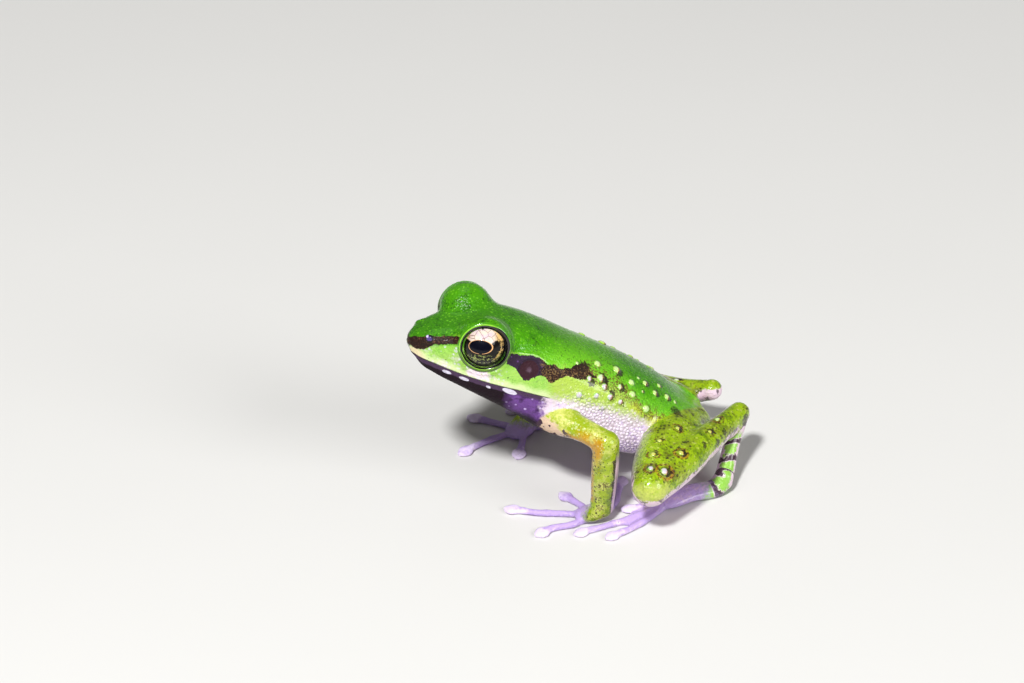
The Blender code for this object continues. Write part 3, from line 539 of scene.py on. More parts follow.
def web(toe, other):
    """The web between two toes, as a thin closed sheet on the floor with a hollow front edge."""
    steps = 9
    shares = np.linspace(0.0, 1.0, steps)
    near, far = (flow([(x, y, 0.0) for x, y in line], DIGIT_STEP)[:, :2] for line in (toe, other))
    points = []
    for z in (WEB_THICKNESS, 0.0):
        for share in shares:
            for across in shares:
                reach = (WEB_NOTCH + (WEB_REACH - WEB_NOTCH) * abs(2 * across - 1) ** 2) * share
                a = near[round(reach * (len(near) - 1))]
                b = far[round(reach * (len(far) - 1))]
                points.append((*(a + (b - a) * across), z))
    layer = steps * steps
    faces = []
    for i in range(steps - 1):
        for j in range(steps - 1):
            a, b = i * steps + j, (i + 1) * steps + j
            faces.append((a, b, b + 1, a + 1))
            faces.append((layer + a, layer + a + 1, layer + b + 1, layer + b))
        for a, b in ((i * steps, (i + 1) * steps), ((i + 2) * steps - 1, (i + 1) * steps - 1),
                     (i + 1, i), (layer - steps + i, layer - steps + i + 1)):
            faces.append((a, layer + a, layer + b, b))
    return np.array(points), faces


class Limb:
    """A limb's smooth rows, with how far along the arm or leg each lies."""

    def __init__(self, rows, start, leg, side, name):
        self.rows = np.asarray(rows)
        self.along = start + np.linspace(0.0, 1.0, len(self.rows))
        self.leg = leg
        self.side = side
        self.name = name


def all_limbs():
    """Arms, hands, legs and feet of both sides."""
    limbs = []
    for side in SIDES:
        elbow, heel = UPPER_ARM[side][-1], SHANK[side][-1]
        forearm = between(elbow, WRIST[side], FOREARM_SIZES)
        tarsus = between(heel, ANKLE[side], TARSUS_SIZES)
        palm = carried(PALM, WRIST, side)
        sole = carried(SOLE, ANKLE, side)
        for start, leg, name, rows in (
            (0, 0, "upper_arm", UPPER_ARM[side]), (1, 0, "forearm", forearm), (2, 0, "palm", palm),
            (0, 1, "thigh", THIGH[side]), (1, 1, "shank", SHANK[side]), (2, 1, "tarsus", tarsus),
            (3, 1, "sole", sole),
        ):
            limbs.append(Limb(flow(rows, LIMB_STEP), start, leg, side, name))
        for finger in FINGERS[side]:
            limbs.append(Limb(digit_rows(finger, "finger"), 3, 0, side, "finger"))
        for toe in TOES:
            limbs.append(Limb(digit_rows(carried(toe, ANKLE, side), "toe"), 4, 1, side, "toe"))
    return limbs


def mesh_of(points, faces, name):
    """A mesh from points and faces."""
    mesh = bpy.data.meshes.new(name)
    mesh.from_pydata([tuple(p) for p in points], [], [tuple(f) for f in faces])
    return mesh


def joined(pieces, name):
    """One mesh that holds several pieces of points and faces."""
    points, faces, count = [], [], 0
    for piece_points, piece_faces in pieces:
        points.append(piece_points)
        faces += [tuple(i + count for i in face) for face in piece_faces]
        count += len(piece_points)
    return mesh_of(np.concatenate(points), faces, name)


def new_object(mesh, name):
    """An object that carries a mesh, in the scene."""
    obj = bpy.data.objects.new(name, mesh)
    bpy.context.scene.collection.objects.link(obj)
    return obj


def with_modifiers_applied(obj):
    """A plain mesh of the object as its modifiers make it; the object itself is removed."""
    depsgraph = bpy.context.evaluated_depsgraph_get()
    mesh = bpy.data.meshes.new_from_object(obj.evaluated_get(depsgraph))
    bpy.data.objects.remove(obj, do_unlink=True)
    return mesh


def store(mesh, name, values):
    """Keep a number or a vector for each point of a mesh."""
    values = np.asarray(values, np.float32)
    kind, key = ("FLOAT", "value") if values.ndim == 1 else ("FLOAT_VECTOR", "vector")
    mesh.attributes.new(name, kind, "POINT").data.foreach_set(key, values.ravel())


class Surface:
    """A mesh as arrays: its points, the links between neighbours and its outward normals."""

    def __init__(self, mesh):
        self.mesh = mesh
        count = len(mesh.vertices)
        self.points = np.empty(count * 3, np.float32)
        mesh.vertices.foreach_get("co", self.points)
        self.points = self.points.reshape(-1, 3).astype(float)
        links = np.empty(len(mesh.edges) * 2, np.int32)
        mesh.edges.foreach_get("vertices", links)
        links = links.reshape(-1, 2)
        self.start = np.concatenate((links[:, 0], links[:, 1]))
        self.end = np.concatenate((links[:, 1], links[:, 0]))
        self.number = np.maximum(np.bincount(self.start, minlength=count), 1)
        mesh.calc_loop_triangles()
        corners = np.empty(len(mesh.loop_triangles) * 3, np.int32)
        mesh.loop_triangles.foreach_get("vertices", corners)
        self.corners = corners.reshape(-1, 3)

    def average(self, values):
        """Each point's mean of its neighbours' values."""
        values = np.asarray(values, float)
        columns = values.reshape(len(values), -1)
        sums = [np.bincount(self.start, column[self.end], len(columns)) for column in columns.T]
        return (np.array(sums).T / self.number[:, None]).reshape(values.shape)

    def softened(self, values, times):
        """Values spread a little to their neighbours."""
        for _ in range(times):
            values = 0.5 * (values + self.average(values))
        return values

    def normals(self):
        """Outward normals at the points."""
        a, b, c = (self.points[self.corners[:, k]] for k in range(3))
        across = np.cross(b - a, c - a)
        total = np.zeros_like(self.points)
        for k in range(3):
            for axis in range(3):
                total[:, axis] += np.bincount(self.corners[:, k], across[:, axis], len(total))
        return total / np.maximum(np.linalg.norm(total, axis=1, keepdims=True), 1e-12)

    def write(self):
        """Put the points back into the mesh."""
        self.mesh.vertices.foreach_set("co", self.points.astype(np.float32).ravel())
        self.mesh.update()

    def store(self, **fields):
        """Keep values for each point in the mesh, for its material."""
        for name, values in fields.items():
            store(self.mesh, name, values)


def slanting(points):
    """Places on the slanting plane of the markings, the right side mirrored onto the left."""
    folded = np.asarray(points, float) * (1, 0, 1) - np.abs(points) * (0, 1, 0)
    return folded @ ACROSS, folded @ UPWARD + LOWER_ON_RIGHT * ramp(points[:, 1], *RIGHT_FROM)


def smooth_body(surface):
    """Take the steps of the remesh out of the surface and round off where forms meet."""
    for _ in range(STEP_ROUNDS):
        for share in STEP_PULLS:
            surface.points += share * (surface.average(surface.points) - surface.points)
    x, z = surface.points[:, 0], surface.points[:, 2]
    crease = (ramp(x, *CREASE_BEHIND) * ramp(z, *CREASE_ABOVE)
              + CREASE_LOW * (1 - ramp(z, *CREASE_BELOW)))
    for turn in range(CREASE_ROUNDS):
        if turn % CREASE_RENEWED == 0:
            normals = surface.normals()
        pull = ((surface.average(surface.points) - surface.points) * normals).sum(1)
        pull = np.clip(pull, 0, None) * CREASE_FILL * np.clip(crease, 0, 1)
        surface.points += normals * pull[:, None]
    low, high = ((np.array(corner) - SHIFT) / MM for corner in CAD_BOX)
    surface.points = np.clip(surface.points, low, high)


def mound(distance, height, half_width):
    """Height of a soft round form at a distance from its middle."""
    return height * np.exp(-((distance / half_width) ** 2))


def shape_features(surface):
    """Sink the nostrils and ear drums, and raise the fold over the ear."""
    normals = surface.normals()
    a, b = slanting(surface.points)
    over_ear = ramp(a, *EAR_FOLD_FRONT) * ramp(-a, *EAR_FOLD_REAR)
    height, half_width = EAR_FOLD
    lift = mound(b - height_on(BAND_TOP, a) - EAR_FOLD_RISE, height * over_ear, half_width)
    sunk, slope = DRUM_SUNK
    for side in SIDES:
        drum = np.linalg.norm(surface.points - sided(DRUM_CENTRE, side), axis=1)
        lift += mound(drum - DRUM_RADIUS, *DRUM_RIM)
        lift -= sunk * (1 - ramp(drum, DRUM_RADIUS - slope, DRUM_RADIUS))
        lift += mound(drum, *DRUM_MIDDLE)
        pit = np.linalg.norm(surface.points - sided(NOSTRIL_PIT, side), axis=1)
        lift -= mound(pit, *NOSTRIL_SUNK)
    surface.points += normals * lift[:, None]


def ball(centre, radius, axis, sides=72, rings=44):
    """Points and faces of a ball whose poles lie along an axis."""
    axis = unit(axis)
    wide = unit(np.cross(axis, (0.3, 0.1, 1.0)))
    high = np.cross(axis, wide)
    turn = np.arange(sides) * 2.0 * math.pi / sides
    loops = []
    for tilt in np.linspace(0, math.pi, rings + 2)[1:-1]:
        flat = np.cos(turn)[:, None] * wide + np.sin(turn)[:, None] * high
        loops.append(np.asarray(centre) + radius * (math.cos(tilt) * axis + math.sin(tilt) * flat))
    return closed_tube(loops, np.asarray(centre) + radius * axis, np.asarray(centre) - radius * axis)


def eye_openings():
    """Cutters that open the lids and hollow the eye sockets."""
    cutters = []
    for side in SIDES:
        centre, axis = np.array(EYE_CENTRE[side]), unit(EYE_OPENING_AXIS[side])
        bm = bmesh.new()
        bm.from_mesh(mesh_of(*ball(centre, LID_RADIUS + LID_REACH, axis), "opening"))
        bmesh.ops.bisect_plane(bm, geom=bm.verts[:] + bm.edges[:] + bm.faces[:], dist=1e-6,
                               plane_co=Vector(centre + axis * LID_EDGE), plane_no=Vector(-axis),
                               clear_outer=True)
        bmesh.ops.holes_fill(bm, edges=[edge for edge in bm.edges if edge.is_boundary])
        bmesh.ops.recalc_face_normals(bm, faces=bm.faces)
        opening = bpy.data.meshes.new("opening")
        bm.to_mesh(opening)
        bm.free()
        socket = mesh_of(*ball(centre, SOCKET_RADIUS, axis), "socket")
        cutters += [opening, socket]
    return cutters


def cut(mesh, cutters):
    """Take cutters out of a mesh."""
    obj = new_object(mesh, "skin_body")
    tools = [new_object(cutter, "cutter") for cutter in cutters]
    for tool in tools:
        boolean = obj.modifiers.new("cut", "BOOLEAN")
        boolean.operation = "DIFFERENCE"
        boolean.solver = "MANIFOLD"
        boolean.object = tool
    mesh = with_modifiers_applied(obj)
    for tool in tools:
        bpy.data.objects.remove(tool, do_unlink=True)
    return mesh


def lid_rim(side):
    """The rolled edge of the lids round an eye."""
    centre, axis = np.array(EYE_CENTRE[side]), unit(EYE_OPENING_AXIS[side])
    wide = unit(np.cross(axis, (0.0, 0.0, 1.0)))
    high = np.cross(wide, axis)
    rings = []
    for turn in np.arange(RIM_AROUND) * 2 * math.pi / RIM_AROUND:
        outward = math.cos(turn) * wide + math.sin(turn) * high
        middle = centre + axis * (LID_EDGE - RIM_SINK) + outward * RIM_RADIUS
        rings.append([middle + RIM_THICKNESS * (math.cos(t) * outward + RIM_FLATNESS * math.sin(t) * axis)
                      for t in np.arange(RIM_ABOUT) * 2 * math.pi / RIM_ABOUT])
    points = np.reshape(rings, (-1, 3))
    faces = []
    for i in range(RIM_AROUND):
        here, there = i * RIM_ABOUT, (i + 1) % RIM_AROUND * RIM_ABOUT
        for j in range(RIM_ABOUT):
            k = (j + 1) % RIM_ABOUT
            faces.append((here + j, here + k, there + k, there + j))
    return points, faces


def nearest_limb(points, limbs):
    """How far along the limb that is closest for its size each point lies, and if it is a leg."""
    centres = np.concatenate([item.rows[:, :3] for item in limbs]).astype(np.float32)
    radii = np.concatenate([item.rows[:, 3:5].mean(1) for item in limbs]).astype(np.float32)
    along = np.concatenate([item.along for item in limbs])
    leg = np.concatenate([np.full(len(item.rows), item.leg) for item in limbs])
    best = np.empty(len(points), int)
    for start in range(0, len(points), PLACES_AT_ONCE):
        part = slice(start, start + PLACES_AT_ONCE)
        here = points[part].astype(np.float32)
        gaps = np.linalg.norm(here[:, None] - centres[None], axis=2) / radii
        best[part] = gaps.argmin(1)
    return along[best], leg[best]


def on_other_side(point, limbs):
    """The place on the right arm or leg that answers to a place on the left one."""
    found = None
    for index, item in enumerate(limbs):
        if item.side != "left":
            continue
        gaps = np.linalg.norm(item.rows[:, :3] - point, axis=1) / item.rows[:, 3]
        if found is None or gaps.min() < found[0]:
            found = (gaps.min(), index, int(gaps.argmin()))
    _, index, row = found
    twin = limbs[index + len(limbs) // 2]
    axes = []
    for item in (limbs[index], twin):
        row_here = min(row, len(item.rows) - 1)
        ahead = unit(np.gradient(item.rows[:, :3], axis=0)[row_here])
        wide = unit(np.cross(ahead, (0, 0, 1)))
        axes.append((item.rows[row_here, :3], ahead, wide, np.cross(wide, ahead)))
    (centre, ahead, wide, high), (other, ahead2, wide2, high2) = axes
    offset = np.asarray(point) - centre
    return other + ahead2 * (offset @ ahead) - wide2 * (offset @ wide) + high2 * (offset @ high)


def both_sides(rows, limbs):
    """Places of the left side together with those that answer to them on the right."""
    result = []
    for row in rows:
        point = np.array(row[:3])
        result.append((*point, *row[3:]))
        on_leg = point[1] < -LEG_FROM
        other = on_other_side(point, limbs) if on_leg else np.array(mirrored(point))
        result.append((*other, *row[3:]))
    return result


def lilac_share(x, z):
    """How lilac a wart is at a place: green on the back and lilac lower down the flank."""
    return ramp(height_on(FLANK_LINE, x) - z, *LILAC_FROM)


def snapped(rows, surface):
    """Places moved onto the skin, with the skin's normal at each."""
    tree = KDTree(len(surface.points))
    for index, point in enumerate(surface.points):
        tree.insert(point, index)
    tree.balance()
    normals = surface.softened(surface.normals(), 3)
    result = []
    for row in rows:
        place, index, _ = tree.find(row[:3])
        result.append((np.array(place), unit(normals[index]), row[3:]))
    return result


def nearer(points, places):
    """How far points lie from the nearer one of some places."""
    return np.min([np.linalg.norm(points - place, axis=1) for place in places], axis=0)


def lip_spots(a, b):
    """How far inside a white spot of the lip places on the slanting plane lie, above zero inside."""
    spots = np.full(len(a), -1.0)
    for mid_a, mid_b, long, high in LIP_SPOTS:
        da, db = a - mid_a, b - mid_b - LIP_SPOT_SLOPE * (a - mid_a)
        spots = np.maximum(spots, 1 - np.sqrt((da / long) ** 2 + (db / high) ** 2))
    return spots


def store_warts(surface, warts, blotches):
    """Store the dark rings, outer halos and swollen feet of the warts, and the dark blotches."""
    points = surface.points
    ring, halo, core, blots = np.zeros((4, len(points)))
    for place, _, (radius, dark) in warts:
        away = np.linalg.norm(points - place, axis=1)
        # The ring's middle is shifted to the wart's lower rear side, so the ring is partly painted shade
        # there
        behind = place + unit(WART_SHADED_SIDE) * radius * WART_SHIFT
        far = np.linalg.norm(points - behind, axis=1)
        ring_edges, (middle, half), foot_edges = (
            [radius * share for share in shares] for shares in (WART_RING, WART_HALO, WART_FOOT))
        ring = np.maximum(ring, dark * (1 - ramp(far, *ring_edges)))
        halo = np.maximum(halo, dark * (1 - np.abs(away - middle) / half))
        core = np.maximum(core, 1 - ramp(away, *foot_edges))
    for place, _, (radius,) in blotches:
        away = np.linalg.norm(points - place, axis=1)
        blots = np.maximum(blots, 1 - away / (radius * BLOTCH_REACH))
    surface.store(wart_ring=ring, wart_halo=halo, wart_core=core, blotch=blots)


def store_fields(surface, limbs, trunk_piece):
    """Store the smooth values that the skin's material turns into markings."""
    points = surface.points
    x, z = points[:, 0], points[:, 2]
    a, b = slanting(points)
    tree = BVHTree.FromPolygons([tuple(point) for point in trunk_piece[0]], trunk_piece[1])
    off_trunk = np.array([tree.find_nearest(point)[3] for point in points])
    limb_share = surface.softened(ramp(off_trunk, LIMB_START, LIMB_REACH), 2)
    along, leg = nearest_limb(points, limbs)
    surface.store(limb=limb_share, along=surface.softened(along, 2), leg=surface.softened(leg, 2))
    flip = np.where(points[:, 1:2] > 0, (1, -1, 1), (1, 1, 1))
    turned = surface.softened(surface.normals(), 2) * flip
    dorsal = np.where(turned[:, 1] < 0, turned @ LEG_OUTWARD, turned[:, 2] - BACK_SLOPE)
    surface.store(facing=turned @ TOWARDS, lean=turned @ ACROSS, low_side=-turned @ UPWARD,
                  dorsal=surface.softened(dorsal, 1))
    above_band = b - height_on(BAND_TOP, a)
    band = np.minimum(-above_band, b - height_on(BAND_LOW, a))
    flank = height_on(FLANK_LINE, x) - z
    surface.store(
        band=np.where((limb_share < 0.5) & (x < BAND_END), band, -2.0),
        along_band=a,
        above_band=above_band,
        flank=flank,
        belly=height_on(BELLY_LINE, x) - z,
        mouth=z - height_on(MOUTH_LINE, x),
        lip_spot=lip_spots(a, b),
        drum=nearer(points, [sided(DRUM_CENTRE, side) for side in SIDES]),
        nostril=nearer(points, [sided(NOSTRIL_PIT, side) for side in SIDES]),
        lid=np.minimum(*(lid_distance(points, side) for side in SIDES)),
        socket=nearer(points, EYE_CENTRE.values()),
        granule=(ramp(flank, *GRANULE_BELOW) * ramp(x, *GRANULE_FRONT)
                 * (1 - ramp(limb_share, *GRANULE_LIMB)) * ramp(-x, *GRANULE_REAR)),
    )
    warts, blotches = (snapped(both_sides(rows, limbs), surface) for rows in (WARTS, BLOTCHES))
    store_warts(surface, warts, blotches)
    return warts


def lid_distance(points, side):
    """How far points lie from the edge of the lids of an eye, in millimetres."""
    centre, axis = np.array(EYE_CENTRE[side]), unit(EYE_OPENING_AXIS[side])
    offset = points - centre
    ahead = offset @ axis
    flat = np.linalg.norm(offset - ahead[:, None] * axis, axis=1)
    return np.hypot(ahead - LID_EDGE, flat - OPENING_RADIUS + 0.15)


def to_frame(mesh):
    """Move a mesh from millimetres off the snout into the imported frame, in metres."""
    mesh.transform(Matrix.Translation(Vector(SHIFT)) @ Matrix.Scale(MM, 4))


def smooth_shaded(mesh, angle=40):
    """Shade a mesh smooth, but for its sharp edges."""
    mesh.polygons.foreach_set("use_smooth", [True] * len(mesh.polygons))
    mesh.set_sharp_from_angle(angle=math.radians(angle))


class Value:
    """A socket that reads like a number: an expression on it adds its Math nodes."""

    def __init__(self, tree, socket):
        self.tree = tree
        self.socket = socket

    def math(self, operation, *others):
        """A Math node on this value and others."""
        values = dict(enumerate((self, *others)))
        node = add_node(self.tree, "ShaderNodeMath", {"operation": operation}, values)
        return Value(self.tree, node.outputs[0])

    def __add__(self, other):
        return self.math("ADD", other)

    __radd__ = __add__

    def __sub__(self, other):
        return self.math("SUBTRACT", other)

    def __rsub__(self, other):
        return self.math("MULTIPLY", -1.0).math("ADD", other)

    def __mul__(self, other):
        return self.math("MULTIPLY", other)

    __rmul__ = __mul__

    def __truediv__(self, other):
        return self.math("DIVIDE", other)

    def square(self):
        """The value times itself."""
        return self.math("POWER", 2.0)

    def high(self, other):
        """The larger of two values."""
        return self.math("MAXIMUM", other)

    def low(self, other):
        """The smaller of two values."""
        return self.math("MINIMUM", other)

    def size(self):
        """The value without its sign."""
        return self.math("ABSOLUTE")

    def step(self, start, end):
        """A soft rise from 0 at start to 1 at end."""
        ends = (start, end, 0.0, 1.0) if start < end else (end, start, 1.0, 0.0)
        values = {"Value": self, **dict(zip(("From Min", "From Max", "To Min", "To Max"), ends))}
        node = add_node(self.tree, "ShaderNodeMapRange", {"interpolation_type": "SMOOTHSTEP"}, values)
        return Value(self.tree, node.outputs["Result"])


def feed(tree, socket, value):
    """Set a socket from a Value, another socket or a plain value."""
    if isinstance(value, Value):
        value = value.socket
    if isinstance(value, bpy.types.NodeSocket):
        tree.links.new(value, socket)
    elif hasattr(socket.default_value, "__len__") and not hasattr(value, "__len__"):
        socket.default_value = [value] * len(socket.default_value)
    elif socket.type == "RGBA":
        socket.default_value = (*value[:3], 1.0)
    else:
        socket.default_value = value


def add_node(tree, kind, settings=None, values=None):
    """A node with its settings made first and then its sockets fed."""
    node = tree.nodes.new(kind)
    for name, value in (settings or {}).items():
        setattr(node, name, value)
    for name, value in (values or {}).items():
        feed(tree, node.inputs[name], value)
    return node


class Finish:
    """A material in the making, from the colours of the frog."""

    # Colour sockets of a mix node
    SHARE, UNDER, OVER, RESULT = 0, 6, 7, 2

    def __init__(self, name, colours):
        self.colours = colours
        self.material = bpy.data.materials.new(name)
        self.material.use_nodes = True
        self.tree = self.material.node_tree
        self.shader = self.tree.nodes["Principled BSDF"]
        coordinates = self.node("ShaderNodeTexCoord")
        self.place = self.node("ShaderNodeVectorMath", {"operation": "SCALE"},
                               {0: coordinates.outputs["Object"], "Scale": 1 / MM}).outputs[0]

    def node(self, kind, settings=None, values=None):
        """A node of this material."""
        return add_node(self.tree, kind, settings, values)

    def field(self, name):
        """A value stored in the mesh."""
        return Value(self.tree, self.node("ShaderNodeAttribute", {"attribute_name": name}).outputs["Fac"])

    def noise(self, scale, detail=3.0, roughness=0.55):
        """Noise around zero, with its scale per millimetre."""
        node = self.node("ShaderNodeTexNoise", None, {
            "Vector": self.place, "Scale": scale, "Detail": detail, "Roughness": roughness,
        })
        return Value(self.tree, node.outputs["Fac"]) - 0.5

    def cells(self, scale, feature="F1", smoothness=None):
        """Distance to the nearest grain of a cellular pattern, with its scale per millimetre."""
        values = {"Vector": self.place, "Scale": scale}
        if smoothness is not None:
            values["Smoothness"] = smoothness
        node = self.node("ShaderNodeTexVoronoi", {"feature": feature}, values)
        return Value(self.tree, node.outputs["Distance"])

    def lay(self, base, *layers, within=None):
        """A colour with others laid over it in turn, each with its share, as names or sockets."""
        for colour, share in layers:
            base, colour = (getattr(self.colours, item) if isinstance(item, str) else item
                            for item in (base, colour))
            base = self.node("ShaderNodeMix", {"data_type": "RGBA", "clamp_factor": True}, {
                self.SHARE: share if within is None else share * within,
                self.UNDER: base,
                self.OVER: colour,
            }).outputs[self.RESULT]
        return base

    def set(self, **values):
        """Set sockets of the shader, by name with underscores for spaces."""
        for name, value in values.items():
            feed(self.tree, self.shader.inputs[name.replace("_", " ")], value)

    def glow(self, weight, *depths):
        """Let light through under the surface, by depths in millimetres for red, green and blue."""
        self.set(Subsurface_Weight=weight, Subsurface_Radius=[d * MM for d in depths], Subsurface_Scale=1.0)

    def bump(self, height):
        """Bump from a height in millimetres."""
        node = self.node("ShaderNodeBump", None, {"Height": height, "Strength": 1.0, "Distance": MM})
        self.set(Normal=node.outputs["Normal"])


def slant_over(first, second):
    """Length of the slant over two values that stand square to each other."""
    return (first.square() + second.square()).math("SQRT")


def srgb(red, green, blue):
    """A colour as a screen shows it, from 0 to 255, as Blender's linear one."""
    return tuple(((c / 255 + 0.055) / 1.055) ** 2.4 if c > 10 else c / 255 / 12.92
                 for c in (red, green, blue))


class Skin(Finish):
    """The frog's skin in the making, with the noises, stored values and shares that its markings use."""

    FIELDS = ("limb", "along", "leg", "facing", "lean", "low_side", "dorsal", "band", "along_band",
              "above_band", "flank", "belly", "mouth", "lip_spot", "drum", "nostril", "lid", "socket",
              "wart_ring", "wart_halo", "wart_core", "blotch")

    def __init__(self, colours):
        super().__init__("frog_skin", colours)
        for name in self.FIELDS:
            setattr(self, name, self.field(name))
        split = self.node("ShaderNodeSeparateXYZ", None, {0: self.place})
        self.x, self.y, self.z = (
            Value(self.tree, socket) - float(shift) for socket, shift in zip(split.outputs, SHIFT / MM))
        fine = self.fine = self.noise(2.6, 4.0, 0.62)
        self.grit = self.noise(5.5, 2.0, 0.6)
        coarse = self.coarse = self.noise(0.55, 3.0)
        self.ragged = fine + coarse * 0.8
        self.on_body = 1 - self.limb.step(0.3, 0.7)
        self.on_left = self.y.step(0.5, -0.5)
        self.behind = self.x.step(15.6, 17.2)
        self.middle = (self.y.size() + coarse * 1.5).step(3.6, 0.6) * 0.5
        self.pale = (self.belly + self.ragged * 1.8).step(-1.3, 0.6)
        self.throat = self.mouth.step(0.04, -0.04) * self.x.step(17.4, 16.4)
        self.gold = (self.noise(4.4, 3.0, 0.7) + coarse * 0.3).step(0.05, 0.10)
        band_edge = self.band + fine * 0.55 + self.grit * 0.35 * self.along_band.step(15.0, 18.0)
        self.banded = band_edge.step(-0.05, 0.05) * self.on_body
        self.lid_edge = self.lid + fine * 0.12
        self.seam = self.mouth.size().step(0.10, 0.03) * self.x.step(16.4, 15.9) * (1 - self.limb)


def back_colour(skin):
    """Saturated green, darker along the middle, paler towards the flank, with dark stipple and painted
    sparkles of light.
    """
    fine, coarse = skin.fine, skin.coarse
    painted_sparkles = skin.cells(2.3) + coarse * 0.4
    pores = skin.cells(2.7) - coarse * 0.6 - fine * 0.5
    return skin.lay(
        "back",
        ("back_dark", (coarse * 1.6 + fine * 1.4).step(-0.05, 0.45)),
        ("back_dark", skin.middle),
        ("back_light", (skin.flank + skin.ragged * 2.0).step(-3.9, -1.0) * 0.85),
        # Painted sparkles: light dots that stand for glints on the wet grains of the back
        ("back_light", painted_sparkles.step(0.34, 0.16) * 0.6),
        ("stipple", pores.step(0.32, 0.12) * 0.7),
    )


def cheek_colour(skin, colour):
    """Lime cheek and upper lip below the dark band, pink under the eye, with a cream tip, and white
    speckles in front that are partly painted sparkle of the wet skin.
    """
    fine, coarse, ragged = skin.fine, skin.coarse, skin.ragged
    x, mouth, above_band = skin.x, skin.mouth, skin.above_band
    cheek = (above_band + fine * 0.5).step(-0.9, -1.5) * x.step(17.5, 16.0) * mouth.step(-0.1, 0.05)
    under_eye = (x - 7.9).square() * 0.22 + (mouth - 0.8).square() * 1.3
    speckle_and_sparkle = (skin.cells(1.7) + coarse * 0.6 + fine * 0.4).step(0.34, 0.16)
    bloom = (skin.noise(0.5, 3.0) + fine * 0.3).step(0.02, 0.2)
    return skin.lay(
        colour,
        ("cheek", 1.0),
        ("cheek_deep", (skin.grit + coarse).step(0.0, 0.25) * 0.7),
        ("cheek_deep", (above_band + ragged).step(-2.4, -1.5) * 0.6),
        ("cheek_pale", (mouth + coarse * 1.4 + fine * 0.6).step(1.35, 0.2) * 0.8),
        ("cheek_pink", (under_eye + ragged * 2.4).step(1.0, 0.2)),
        # White speckles of the front cheek, partly painted sparkle of wet skin
        ("lip_white", speckle_and_sparkle * (x + ragged * 3.0).step(12.5, 9.0) * 0.6),
        ("cheek_pink", bloom * x.step(11.0, 7.0) * 0.6),
        ("brown_dark", (skin.cells(0.9) - coarse * 0.2).step(0.10, 0.05) * 0.8),
        ("snout_cream", (x + (mouth - 0.6) * 0.7 + fine).step(1.9, 0.7)),
        within=cheek,
    )


def flank_colour(skin, colour):
    """Yellow green flank with brown mottling, and the granular pink belly."""
    fine, coarse, ragged = skin.fine, skin.coarse, skin.ragged
    x, flank, belly = skin.x, skin.flank, skin.belly
    yellow = (skin.noise(0.28, 2.0) + (x - 26.0) * 0.06).step(-0.06, 0.22)
    mottle = (flank + 0.9 + ragged * 3.0).size().step(1.3, 0.4) * (skin.grit + fine * 0.6).step(-0.08, 0.06)
    lilac = (coarse * 1.6 + skin.noise(1.4, 2.0)).step(0.0, 0.3)
    dapple = (skin.cells(1.4) + fine * 0.5).step(0.36, 0.16) * (belly + ragged).step(-2.4, -0.4)
    return skin.lay(
        colour,
        ("flank", (flank + ragged * 2.0).step(-1.9, 0.2)),
        ("flank_yellow", yellow * (flank + ragged).step(-1.9, -0.3) * 0.85),
        ("brown", mottle * x.step(20.0, 22.0) * x.step(33.5, 31.0) * 0.85),
        ("belly", skin.pale),
        ("belly_shade", skin.pale * lilac * 0.6),
        ("belly_shade", (belly + coarse * 2.0).step(2.4, 5.5) * 0.8),
        ("granule", dapple * 0.6),
        within=skin.behind,
    )


def throat_colour(skin, colour):
    """Dark throat, near black from its own dark maroon and painted shade under the jaw, violet at its rear
    with painted glints, painted shade low on the chest, and the lower lip with its white spots.
    """
    fine, coarse, x, mouth = skin.fine, skin.coarse, skin.x, skin.mouth
    violet = (x + coarse * 2.0).step(10.4, 12.2) * (mouth + fine * 0.5).step(-0.5, -1.0)
    violet = violet * (mouth + coarse).step(-4.6, -3.0)
    # Painted glints: light dots that stand for wet highlights on the violet
    painted_glints = (skin.cells(1.0) + coarse * 0.4).step(0.24, 0.12)
    # Painted shade low on the chest, between the arms
    painted_chest_shade = (skin.belly + coarse * 2.0).step(4.0, 6.0) * x.step(22.0, 17.0) * skin.behind
    jaw = skin.lay(
        "lower_lip",
        # The throat's dark maroon, deepened to near black with painted shade under the jaw
        ("throat", (mouth + fine * 0.3).step(-0.60, -0.85)),
        ("violet", violet * (0.85 + fine * 0.8)),
        ("throat", violet * coarse.step(0.04, 0.16) * 0.7),
        ("belly_shade", painted_glints * violet * 0.8),
        ("belly", (x + skin.ragged * 2.2).step(14.9, 15.9) * mouth.step(-3.6, -1.8)),
        ("lip_white", (skin.lip_spot + fine * 0.4).step(0.0, 0.14) * mouth.step(-1.4, -1.1)),
    )
    return skin.lay(colour, (jaw, skin.throat), ("throat", painted_chest_shade * 0.8))


def band_colour(skin, colour):
    """Dark band: brown black before the eye, purple round the ear with a painted highlight on the middle of
    the ear drum, speckled brown gold behind.
    """
    fine, coarse, drum = skin.fine, skin.coarse, skin.drum
    along_band, above_band = skin.along_band, skin.above_band
    ear_patch = (along_band + fine).step(11.5, 12.5) * (along_band + fine * 2.0).step(16.9, 16.2)
    glow = (skin.cells(1.6) + coarse * 0.5).step(0.26, 0.12) * ear_patch * drum.step(1.2, 1.5)
    line = (above_band + fine * 0.3).step(-0.12, 0.05) * (above_band + fine * 0.4).step(0.30, 0.14)
    line = line * along_band.step(17.6, 16.4) * along_band.step(5.0, 7.0) * skin.on_body
    dark = skin.lay(
        "band",
        ("band_brown", (skin.grit + coarse * 0.4).step(0.05, 0.13) * 0.8),
        ("ear_purple", ear_patch),
        ("drum", (drum + fine * 0.2).step(1.35, 1.15)),
        ("drum_rim", (drum - 1.42 + fine * 0.2).size().step(0.14, 0.03) * 0.5),
        ("violet", glow * 0.45),
        # Painted highlight on the raised middle of the ear drum
        ("drum_highlight", (drum + fine * 0.5).step(0.50, 0.15) * 0.55),
        ("gold_brown", skin.gold * along_band.step(16.0, 16.8) * 0.8),
    )
    return skin.lay(colour, ("band_line", line * 0.55 * skin.on_left), (dark, skin.banded))


